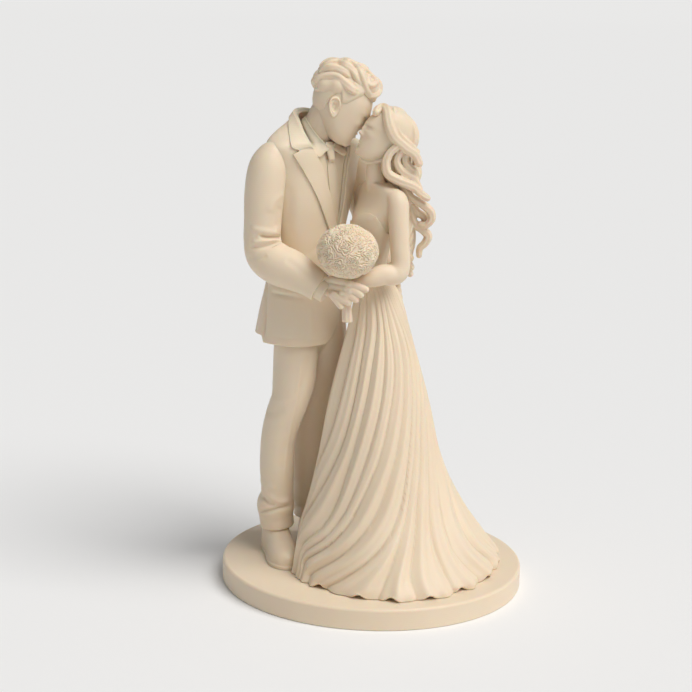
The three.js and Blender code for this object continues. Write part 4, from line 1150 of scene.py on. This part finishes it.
# The lock that frames her face, drawn in the picture: the part on her head and the part that hangs free
FRINGE = [
    (376, 113),
    (378.5, 109),
    (382, 106.5),
    (386, 108),
    (388, 113),
    (388.5, 120),
    (390, 128),
    (393.5, 136),
    (399, 143),
]
FREE_FRINGE = [(407, 149), (415, 155), (419, 163)]
# The fuller middle of her hair behind
BRIDE_MASS = [
    [14, -24, 880, 34, 34],
    [22, -18, 830, 34, 40],
    [28, -12, 785, 26, 38],
    [36, -6, 745, 24, 34],
    [44, 0, 700, 18, 26],
    [48, 2, 660, 8, 12],
]
# Locks behind: bearing on her head at the crown and at the nape, how far they hang, and where the wave starts
BRIDE_LOCKS = [
    [-62, -96, 118, 0.4],
    [-72, -108, 152, 2.0],
    [-84, -120, 186, 3.9],
    [-98, -132, 208, 5.4],
    [-112, -144, 224, 1.0],
    [-128, -156, 236, 2.9],
    [-144, -168, 230, 4.4],
    [-162, -180, 240, 0.2],
    [-180, -192, 226, 1.9],
    [-200, -204, 208, 3.6],
    [-222, -216, 190, 5.0],
]
# The heap his curls lie on, as overlapping balls: ahead, left, up and radius, in shares of the head's height
CURLS = [
    [-0.26, -0.2, 0.34, 0.155],
    [-0.08, -0.26, 0.34, 0.155],
    [0.12, -0.255, 0.26, 0.145],
    [-0.31, -0.09, 0.445, 0.17],
    [-0.175, -0.125, 0.56, 0.17],
    [0.015, -0.125, 0.57, 0.17],
    [0.225, -0.125, 0.475, 0.17],
    [0.4, -0.11, 0.325, 0.155],
    [0.44, -0.06, 0.155, 0.115],
    [-0.32, 0.06, 0.43, 0.17],
    [-0.185, 0.045, 0.57, 0.17],
    [0.03, 0.06, 0.57, 0.17],
    [0.245, 0.055, 0.49, 0.17],
    [0.42, 0.045, 0.31, 0.17],
    [-0.3, 0.2, 0.4, 0.17],
    [-0.12, 0.23, 0.51, 0.17],
    [0.09, 0.23, 0.49, 0.17],
    [0.3, 0.185, 0.36, 0.17],
    [-0.215, 0.32, 0.3, 0.155],
    [-0.01, 0.34, 0.325, 0.155],
    [0.2, 0.29, 0.21, 0.14],
]


def hair_shell(name, head, edge, sides, crown, soft, relief=None):
    """Hair on the skull: thick above the hairline and sunk into the skin below it."""
    sunk = 0.07

    def place(u, v):
        turn = u * TURN - math.pi
        shape = skull_points(turn, v, 0.0, [])
        bearing = np.abs(np.degrees(turn))
        over = shape[:, 2] - np.interp(bearing, *zip(*edge))
        thick = sides + (crown - sides) * smoothstep(0.15, 0.42, shape[:, 2])
        thick = thick + (relief(turn, shape[:, 2]) if relief else 0)
        grown = -sunk + (thick + sunk) * smoothstep(-0.04, soft, over)
        return head_point(head, shape + unit(shape - [0, 0, 0.05]) * grown[:, None])

    return sheet(name, 300, 240, place)


def curl_envelope():
    """The smooth heap that the groom's curls lie on, as a place(u, v)."""
    height = GROOM_HEAD[3] * THOUSANDTH
    centre = places(GROOM_HEAD)
    across, up, heap_level, inset = 160, 80, 0.31, 0.75 * MM
    middle = centre + np.array([0, 0, heap_level * height])
    turns, falls = np.arange(across) / across * TURN, np.arange(up + 1) / up * math.pi
    out = ball_way(*np.meshgrid(turns, falls, indexing="ij"))
    reach = np.full(out.shape[:2], 0.12 * height)
    for x, y, z, r in CURLS:
        to = centre + np.array([x, y, z]) * height - middle
        far = out @ to
        inside = (r * height) ** 2 - to @ to + far**2
        reach = np.maximum(reach, np.where(inside > 0, far + np.sqrt(np.maximum(inside, 0)), 0))
    reach = smoothed(smoothed(reach.T, np.hanning(15), "wrap").T, np.hanning(11))
    reach[:, 0], reach[:, -1] = reach[:, 0].mean(), reach[:, -1].mean()
    reach = np.concatenate([reach, reach[:1]])

    def place(u, v):
        i, j = u * across, v * up
        a, b = np.minimum(i.astype(int), across - 1), np.minimum(j.astype(int), up - 1)
        p, q = i - a, j - b
        mixed = (reach[a, b] * (1 - p) + reach[a + 1, b] * p) * (1 - q)
        mixed += (reach[a, b + 1] * (1 - p) + reach[a + 1, b + 1] * p) * q
        return middle + ball_way(u * TURN, v * math.pi) * (mixed - inset)[:, None]

    return place, middle


def to_rows(points, half, least=0.45):
    """Points in metres as rows of a limb table, thinner towards its ends."""
    rows = np.empty((len(points), 5))
    rows[:, :3] = (points - [0, 0, BASE_TOP]) / THOUSANDTH
    taper = least + (1 - least) * np.sin(np.linspace(0.12, 0.88, len(points)) * math.pi) ** 0.6
    rows[:, 3] = rows[:, 4] = half * MM / THOUSANDTH * taper
    return rows


def make_groom_hair():
    place, middle = curl_envelope()
    axes = head_axes(GROOM_HEAD)
    centre = places(GROOM_HEAD)
    sides = hair_shell("sides", GROOM_HEAD, GROOM_HAIRLINE, 0.03, 0.06, 0.13)
    parts = [sides, sheet("heap", 120, 80, place)]
    for half, stroke in WAVES:
        fine = finely(stroke, 4)
        u, v = traced(place, fine, (400, 200))
        points = smoothed(place(u, v).T, np.ones(5)).T
        points -= unit(points - middle) * half * 0.12 * MM
        local = (points - centre) @ axes
        local[:, 1] *= -1
        for path in (points, centre + local @ axes.T):
            rows = to_rows(path, half)
            parts.append(lock("wave", rows, around=36, steps=70, strands=4, twist=2.5, depth=0.2))
    return fuse("grooms_hair", parts, 0.19 * MM, 1)


def at_depth(pixels, depth):
    """Points seen at the pixels, at the given depths in thousandths."""
    rays = np.array([view_ray(pixel) for pixel in pixels])
    return VIEW_FROM + rays * ((depth * THOUSANDTH - VIEW_FROM[1]) / rays[:, 1])[:, None]


def back_lock(crown, nape, hang, start):
    """The path of a lock that lies on the back of her head and then hangs in waves."""
    share = np.linspace(0, 1, 24)
    turn = np.radians(crown + (nape - crown) * smoothstep(0, 1, share))
    laid = head_point(BRIDE_HEAD, skull_points(turn, 0.04 + 0.46 * share, 0.05, []))
    fall = np.linspace(0, 1, 40)[1:]
    wave_length, wave_reach = 58, 6.5
    wave = start + fall * hang / wave_length * TURN
    grow = wave_reach * smoothstep(0, 0.25, fall)
    drift = 0.06 * fall * hang + grow * np.sin(wave)
    free = np.stack([drift, 0.5 * drift + grow * np.cos(wave), -fall * hang], 1) * THOUSANDTH
    return smoothed(np.concatenate([laid, laid[-1] + free]).T, np.hanning(9)).T


def make_bride_hair():
    combed = lambda turn, level: 0.006 * np.abs(np.sin(turn * 17 + 3.0 * level)) ** 0.6 - 0.004
    locks = [lock("mass", BRIDE_MASS, around=56, steps=150, strands=9, twist=4.0, depth=0.2)]
    for row in BRIDE_LOCKS:
        rows = to_rows(back_lock(*row), 1.6, 0.4)
        locks.append(lock("lock", rows, around=48, steps=160, strands=6, twist=4.0, depth=0.22))
    for depths, half, stroke in BRIDE_STRANDS:
        fine = finely(stroke, 4)
        depth = np.interp(np.linspace(0, 1, len(fine)), np.linspace(0, 1, len(depths)), depths)
        rows = to_rows(at_depth(fine, depth), half)
        locks.append(lock("lock", rows, around=44, steps=110, strands=6, twist=3.0, depth=0.24))
    shape = lambda u, v: head_point(BRIDE_HEAD, skull_points(u * TURN, v, 0.05, []))
    laid = shape(*traced(shape, evenly(FRINGE, 30), (400, 300)))
    free = at_depth(np.array(FREE_FRINGE), np.full(3, laid[-1, 1] / THOUSANDTH))
    laid = smoothed(laid.T, np.ones(5)).T
    path = evenly(np.concatenate([laid[::3], free]), 60)
    rows = to_rows(path, 1.65, 0.6)
    locks.append(lock("lock", rows, around=48, steps=140, strands=6, twist=3.0, depth=0.2))
    cap = hair_shell("cap", BRIDE_HEAD, BRIDE_HAIRLINE, 0.055, 0.075, 0.06, combed)
    return fuse("brides_hair", [cap, *locks], 0.226 * MM, 1)


# Bride
def make_bride_skin():
    shoulders = trunk("shoulders", BUST, corners=1.0)
    neck = limb("neck", BRIDE_NECK)
    arms = [limb("arm", table, around=64) for table in (BRIDE_LEFT_ARM, BRIDE_RIGHT_ARM)]
    tables = BRIDE_LEFT_FINGERS + BRIDE_RIGHT_FINGERS
    fingers = [limb("finger", table, around=32, steps=40) for table in tables]
    return fuse("bride_skin", [shoulders, neck, *arms, *fingers], 0.3 * MM, 4)


def bust_level(level):
    table = np.asarray(BUST, float)
    return np.interp(level, table[:, 2], np.linspace(0, 1, len(table)))


def neckline(angle):
    """The height of the gown's upper edge, by the angle round her: as drawn in front, level behind."""
    u, v = traced(lambda u, v: trunk_point(BUST, u * TURN, v, 0.3 * MM, 1.0), NECKLINE)
    return between((angle / TURN) % 1, u, along(BUST, v)[:, 2], period=1)


def make_bodice():
    low = 590

    def place(u, v):
        angle = u * TURN
        level = low + v * (neckline(angle) - low)
        ripple = 0.1 * MM * np.sin(angle * 9 + v * 2.0) * smoothstep(0.75, 0.3, v)
        return trunk_point(BUST, angle, bust_level(level), 0.45 * MM + ripple, 1.0)

    piece = sheet("bodice", 200, 110, place, closed=False)
    thicken(piece, 0.7 * MM)
    return piece


def hem_reach(degrees):
    table = np.array(HEM[:-1], float)
    bearings = np.concatenate([table[:, 0] - 360, table[:, 0], table[:, 0] + 360])
    reaches = np.tile(table[:, 1], 3)
    fine = np.linspace(-540, 540, 1081)
    return np.interp(degrees, fine, smoothed([np.interp(fine, bearings, reaches)], np.hanning(41))[0])


def waist_reach(angle):
    turned = angle - math.radians(WAIST[2])
    return 1 / np.hypot(np.cos(turned) / WAIST[0], np.sin(turned) / WAIST[1])


def skirt_radius(angle, v):
    """The skirt's middle at each level and its reach there, without the pleats."""
    row = along(SKIRT, v)
    front = np.clip((np.cos(angle - math.radians(SKIRT_FRONT)) - 0.1) / 0.9, 0, 1)
    flare = row[:, 3] + (row[:, 4] - row[:, 3]) * smoothstep(0, 1, front)
    waist = waist_reach(angle)
    return places(row), (waist + (hem_reach(np.degrees(angle)) - waist) * flare) * THOUSANDTH


def skirt_smooth(u, v):
    angle = (u - 0.75) * TURN
    middle, reach = skirt_radius(angle, v)
    return middle + level_out(angle, reach)


def valley_bearings(levels):
    """The bearing of every valley at every level: as drawn in front, and spread evenly behind."""
    rows = []
    for stroke in VALLEYS:
        u, v = traced(skirt_smooth, evenly(stroke, 60))
        rows.append(between(levels, v, (u - 0.75) * 360))
    rows = smoothed(rows, np.hanning(21))
    least = 2.2
    gap = least * np.arange(len(rows))[:, None]
    rows = np.maximum.accumulate(rows - gap, axis=0) + gap
    behind = rows[0] + 360 - rows[-1]
    hidden = [rows[-1] + behind * (k + 1) / (HIDDEN_PLEATS + 1) for k in range(HIDDEN_PLEATS)]
    return np.vstack([rows, hidden, rows[:1] + 360])


def make_skirt():
    steps = 162
    levels = np.linspace(0, 1, steps + 1)
    valleys = valley_bearings(levels)
    arch_u, _ = traced(skirt_smooth, HEM_ARCHES)
    arches = list((arch_u - 0.75) * 360) + HIDDEN_ARCHES
    turn_under, tuck, lip = 0.97, 2.5 * MM, 0.5 * MM
    steepest, deepest, ripple_share = 0.26, 1.9 * MM, 0.035
    arch_width, arch_depth, arch_rise, hem_rise = 1.9 * MM, 0.5 * MM, 1.7 * MM, 0.35 * MM

    def place(u, v):
        top = np.clip(v / turn_under, 0, 1)
        under = np.clip((v - turn_under) / (1 - turn_under), 0, 1)
        angle = (u - 0.75) * TURN
        bearing = np.degrees(angle)
        count = np.empty(len(u))
        spacing = np.empty(len(u))
        for level in np.unique(top):
            here = top == level
            lines = np.array([np.interp(level, levels, line) for line in valleys])
            turned = lines[0] + (bearing[here] - lines[0]) % 360
            count[here] = np.interp(turned, lines, np.arange(len(lines)))
            spacing[here] = np.diff(lines)[np.minimum(count[here].astype(int), len(lines) - 2)]
        middle, reach = skirt_radius(angle, top)
        share = count % 1
        width = np.radians(spacing) * reach
        depth = np.minimum(steepest * width, deepest) * (0.35 + 0.65 * smoothstep(0.02, 0.3, top))
        crest = np.sin(np.clip(share, 0, 1) * math.pi) ** 0.8
        ripple = np.cos(share * 4 * math.pi + 2.4 * np.floor(count)) * ripple_share * width * crest
        radius = reach + (crest - 0.68) * depth + ripple * smoothstep(0.05, 0.3, top)
        away = (bearing[:, None] - np.array(arches) + 180) % 360 - 180
        arch = np.exp(-((np.radians(away) * reach[:, None] / arch_width) ** 2)).max(1)
        hem = smoothstep(0.86, 1.0, top)
        radius -= arch * hem * arch_depth + under * tuck
        point = middle + level_out(angle, radius)
        point[:, 2] += arch * hem**2 * arch_rise + (1 - arch) * hem * hem_rise
        point[:, 2] -= np.clip(under * 6, 0, 1) * lip
        point[:, 2] = np.maximum(point[:, 2], BASE_TOP - SUNK)
        return point

    return sheet("skirt", 600, steps, place)


# Bouquet
def bloom_centres():
    centre, ray = places(BOUQUET), view_ray(MAIN_BLOOM)
    reach = (centre - VIEW_FROM) @ ray
    aside = np.linalg.norm(VIEW_FROM + ray * reach - centre)
    ways = [unit(VIEW_FROM + ray * (reach - math.sqrt(BOUQUET_RADIUS**2 - aside**2)) - centre)]
    count, clear, jitter = 40, 0.42, 0.05
    for i in range(count):
        level = 1 - 2 * (i + 0.5) / count
        turn = i * math.pi * (3 - math.sqrt(5)) + jitter * math.sin(i * 2.1)
        flat = math.sqrt(1 - level**2)
        way = np.array([flat * math.cos(turn), flat * math.sin(turn), level])
        if way @ ways[0] < math.cos(clear):
            ways.append(way)
    return np.array(ways)


def make_flowers():
    """A dome of blooms, each one a round of wavy petals pressed against its neighbours."""
    centre = places(BOUQUET)
    blooms = bloom_centres()
    main, usual, varied, flattened = 0.5, 0.38, 0.05, 0.88
    sizes = np.array([main] + [usual + varied * math.sin(i * 1.7) for i in range(len(blooms) - 1)])
    starts = np.arange(len(blooms)) * 1.9
    sides = unit(np.cross(blooms, [0.31, 0.2, 0.93]))
    overs = np.cross(blooms, sides)

    def place(u, v):
        out = ball_way(u * TURN, v * math.pi)
        rise = np.full(len(u), -0.12)
        for way, side, over, size, start in zip(blooms, sides, overs, sizes, starts):
            near = out @ way > math.cos(size * 1.35)
            x, y = out[near] @ side, out[near] @ over
            r = np.hypot(x, y) / size
            spin = np.arctan2(y, x) + start
            wavy = 0.34 * np.sin(spin * 4 + start * 5 + r * 5) + 0.2 * np.sin(spin * 7 - start * 3 - r * 4)
            ridge = np.abs(np.sin((r * size * 9.5 + wavy) * math.pi)) ** 0.75
            height = 0.1 * np.sqrt(np.clip(1.15 - r**2, 0, 1.2)) - 0.09 + 0.07 * ridge
            height -= 0.04 * smoothstep(0.93, 1.3, r)
            rise[near] = np.maximum(rise[near], height)
        ends = (v <= 0) | (v >= 1)
        rise[ends] = rise[ends].mean()
        return centre + out * np.array([1, 1, flattened]) * (BOUQUET_RADIUS * (0.945 + rise))[:, None]

    return sheet("flowers", 400, 230, place)


def make_stems():
    parts = []
    half, thick, count = 0.9 * MM / THOUSANDTH, 0.54 * MM / THOUSANDTH, 7
    for angle in np.arange(count) / count * TURN:
        rows = []
        for x, y, z, spread in STEMS:
            out = spread * half
            rows.append([x + math.cos(angle) * out, y + math.sin(angle) * out, z, thick, thick])
        parts.append(limb("stem", rows, around=20, steps=30))
    return fuse("stems", parts, 0.2 * MM, 1)


# Resin
def add_node(nodes, kind, inputs, **settings):
    """A node with its settings and the values of its inputs."""
    node = nodes.new("ShaderNode" + kind)
    for key, value in settings.items():
        setattr(node, key, value)
    set_inputs(node, inputs)
    return node


def set_inputs(node, inputs):
    for key, value in inputs.items():
        node.inputs[key].default_value = value


def make_resin():
    """Cream resin with a faint cloud in its colour, painted shade that darkens its creases to a warmer brown,
    and the fine layers of its pattern.
    """
    # The third colour is painted shade: the darker, warmer brown mixed into creases and hollows
    pale, warm, painted_shade_colour = (0.83, 0.7, 0.535, 1), (0.79, 0.655, 0.49, 1), (0.68, 0.5, 0.33, 1)
    bands = TURN / 20 / LAYER_HEIGHT
    material = bpy.data.materials.new("resin")
    material.use_nodes = True
    nodes, links = material.node_tree.nodes, material.node_tree.links
    shader = nodes["Principled BSDF"]
    set_inputs(shader, {"Roughness": 0.5, "IOR": 1.5, "Specular IOR Level": 0.45})
    set_inputs(shader, {"Subsurface Weight": 0.5, "Subsurface Radius": (1.0, 0.5, 0.25)})
    set_inputs(shader, {"Subsurface Scale": 1.2 * MM})
    where = add_node(nodes, "TexCoord", {})
    cloud = add_node(nodes, "TexNoise", {"Scale": 60, "Detail": 3})
    tint = add_node(nodes, "Mix", {"A": warm, "B": pale}, data_type="RGBA")
    form = add_node(nodes, "NewGeometry", {})
    # Painted shade: where the mesh is concave (low pointiness) the colour is mixed towards the darker brown
    crease_shade_mask = add_node(nodes, "MapRange", {"From Min": 0.38, "From Max": 0.5})
    shade = add_node(nodes, "Mix", {"A": painted_shade_colour}, data_type="RGBA")
    layers = add_node(
        nodes, "TexWave", {"Scale": bands, "Distortion": 0.4}, wave_type="BANDS", bands_direction="Z"
    )
    bump = add_node(nodes, "Bump", {"Strength": 0.25, "Distance": 0.03 * MM})
    links.new(where.outputs["Object"], cloud.inputs["Vector"])
    links.new(cloud.outputs["Fac"], tint.inputs["Factor"])
    links.new(form.outputs["Pointiness"], crease_shade_mask.inputs["Value"])
    links.new(crease_shade_mask.outputs["Result"], shade.inputs["Factor"])
    links.new(tint.outputs["Result"], shade.inputs["B"])
    links.new(shade.outputs["Result"], shader.inputs["Base Color"])
    links.new(where.outputs["Object"], layers.inputs["Vector"])
    links.new(layers.outputs["Fac"], bump.inputs["Height"])
    links.new(bump.outputs["Normal"], shader.inputs["Normal"])
    return material


# Stage
def make_stage():
    mesh = bmesh.new()
    half_size, flat, slope = 80, 20, 0.07
    bmesh.ops.create_grid(mesh, x_segments=2, y_segments=16, size=half_size)
    for vert in mesh.verts:
        vert.co.z = max(vert.co.y - flat, 0) * slope
    floor = new_piece("floor", mesh)
    material = bpy.data.materials.new("floor")
    material.use_nodes = True
    shader = material.node_tree.nodes["Principled BSDF"]
    set_inputs(shader, {"Base Color": (0.885, 0.885, 0.885, 1), "Roughness": 1.0, "Specular IOR Level": 0})
    floor.data.materials.append(material)


def add_light(kind, name, energy, side, place=(0, 0, 0), **settings):
    """A soft white light that shines from one side."""
    data = bpy.data.lights.new(name, kind)
    data.energy = energy
    data.color = (1.0, 0.985, 0.965)
    for key, value in settings.items():
        setattr(data, key, value)
    light = bpy.data.objects.new(name, data)
    light.rotation_euler = Vector(side).to_track_quat("Z", "Y").to_euler()
    light.location = place
    bpy.context.scene.collection.objects.link(light)


def make_lights():
    add_light("SUN", "key", 2.42, (0.6, -0.42, 1.05), angle=math.radians(42))
    place, aim = Vector((0.1, -0.4, 0.48)), Vector((-0.01, -0.01, 0.12))
    add_light("AREA", "fill", 0.1, place - aim, place, size=0.35)
    world = bpy.data.worlds.new("studio")
    world.use_nodes = True
    background = world.node_tree.nodes["Background"]
    set_inputs(background, {"Color": (0.97, 0.985, 1.0, 1), "Strength": 0.29})
    bpy.context.scene.world = world
    bpy.context.scene.view_settings.view_transform = "Standard"


# Making
near_edge = drawn_edge(CUTAWAY_LINE) + HEM_EDGE + drawn_edge(OPENING_LINE)
far_edge = FAR_HEM_EDGE + mirrored(drawn_edge(OPENING_LINE), 3)
roll_line = on_shoulder(COLLAR_ROLL)
make_camera()
make_stage()
make_lights()
resin = make_resin()
made = [
    (make_base(), ["base_disc"]),
    (make_jacket(roll_line), ["groom_jacket"]),
    (make_shirt(), ["groom_shirt_front"]),
    (make_collar(), ["groom_shirt_collar"]),
    (make_trousers(), ["groom_trousers"]),
    (make_shoe("right_shoe", *RIGHT_SHOE), ["groom_right_shoe"]),
    (make_shoe("left_shoe", *LEFT_SHOE), ["groom_left_shoe"]),
    (make_right_sleeve(), ["groom_right_sleeve"]),
    (make_sleeve("left_sleeve", LEFT_SLEEVE), ["groom_left_sleeve"]),
    (limb("right_cuff", RIGHT_CUFF, steps=20, round_ends=(False, False)), ["groom_right_cuff"]),
    (limb("left_cuff", LEFT_CUFF, steps=20, round_ends=(False, False)), ["groom_left_cuff"]),
    (make_right_hand(), ["groom_right_hand"]),
    (make_left_hand(), ["groom_left_hand"]),
    (make_groom_head(), ["groom_head"]),
    (make_groom_hair(), ["groom_hair"]),
    (make_bride_skin(), ["bride_shoulders", "bride_left_arm", "bride_right_arm"]),
    (make_bride_head(), ["bride_head"]),
    (make_bride_hair(), ["bride_hair"]),
    (make_bodice(), ["bride_bodice"]),
    (make_skirt(), ["bride_skirt"]),
    (make_flowers(), ["bouquet_flowers"]),
    (make_stems(), ["bouquet_stems"]),
    *[(lapel, []) for lapel in make_lapels()],
    (make_jacket_collar(roll_line), []),
    *zip(make_tie(), (["groom_tie"], [])),
]
for piece, nodes in made:
    piece.data.materials.clear()
    piece.data.materials.append(resin)
    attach(piece, "root")
    if nodes:
        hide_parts(*nodes)
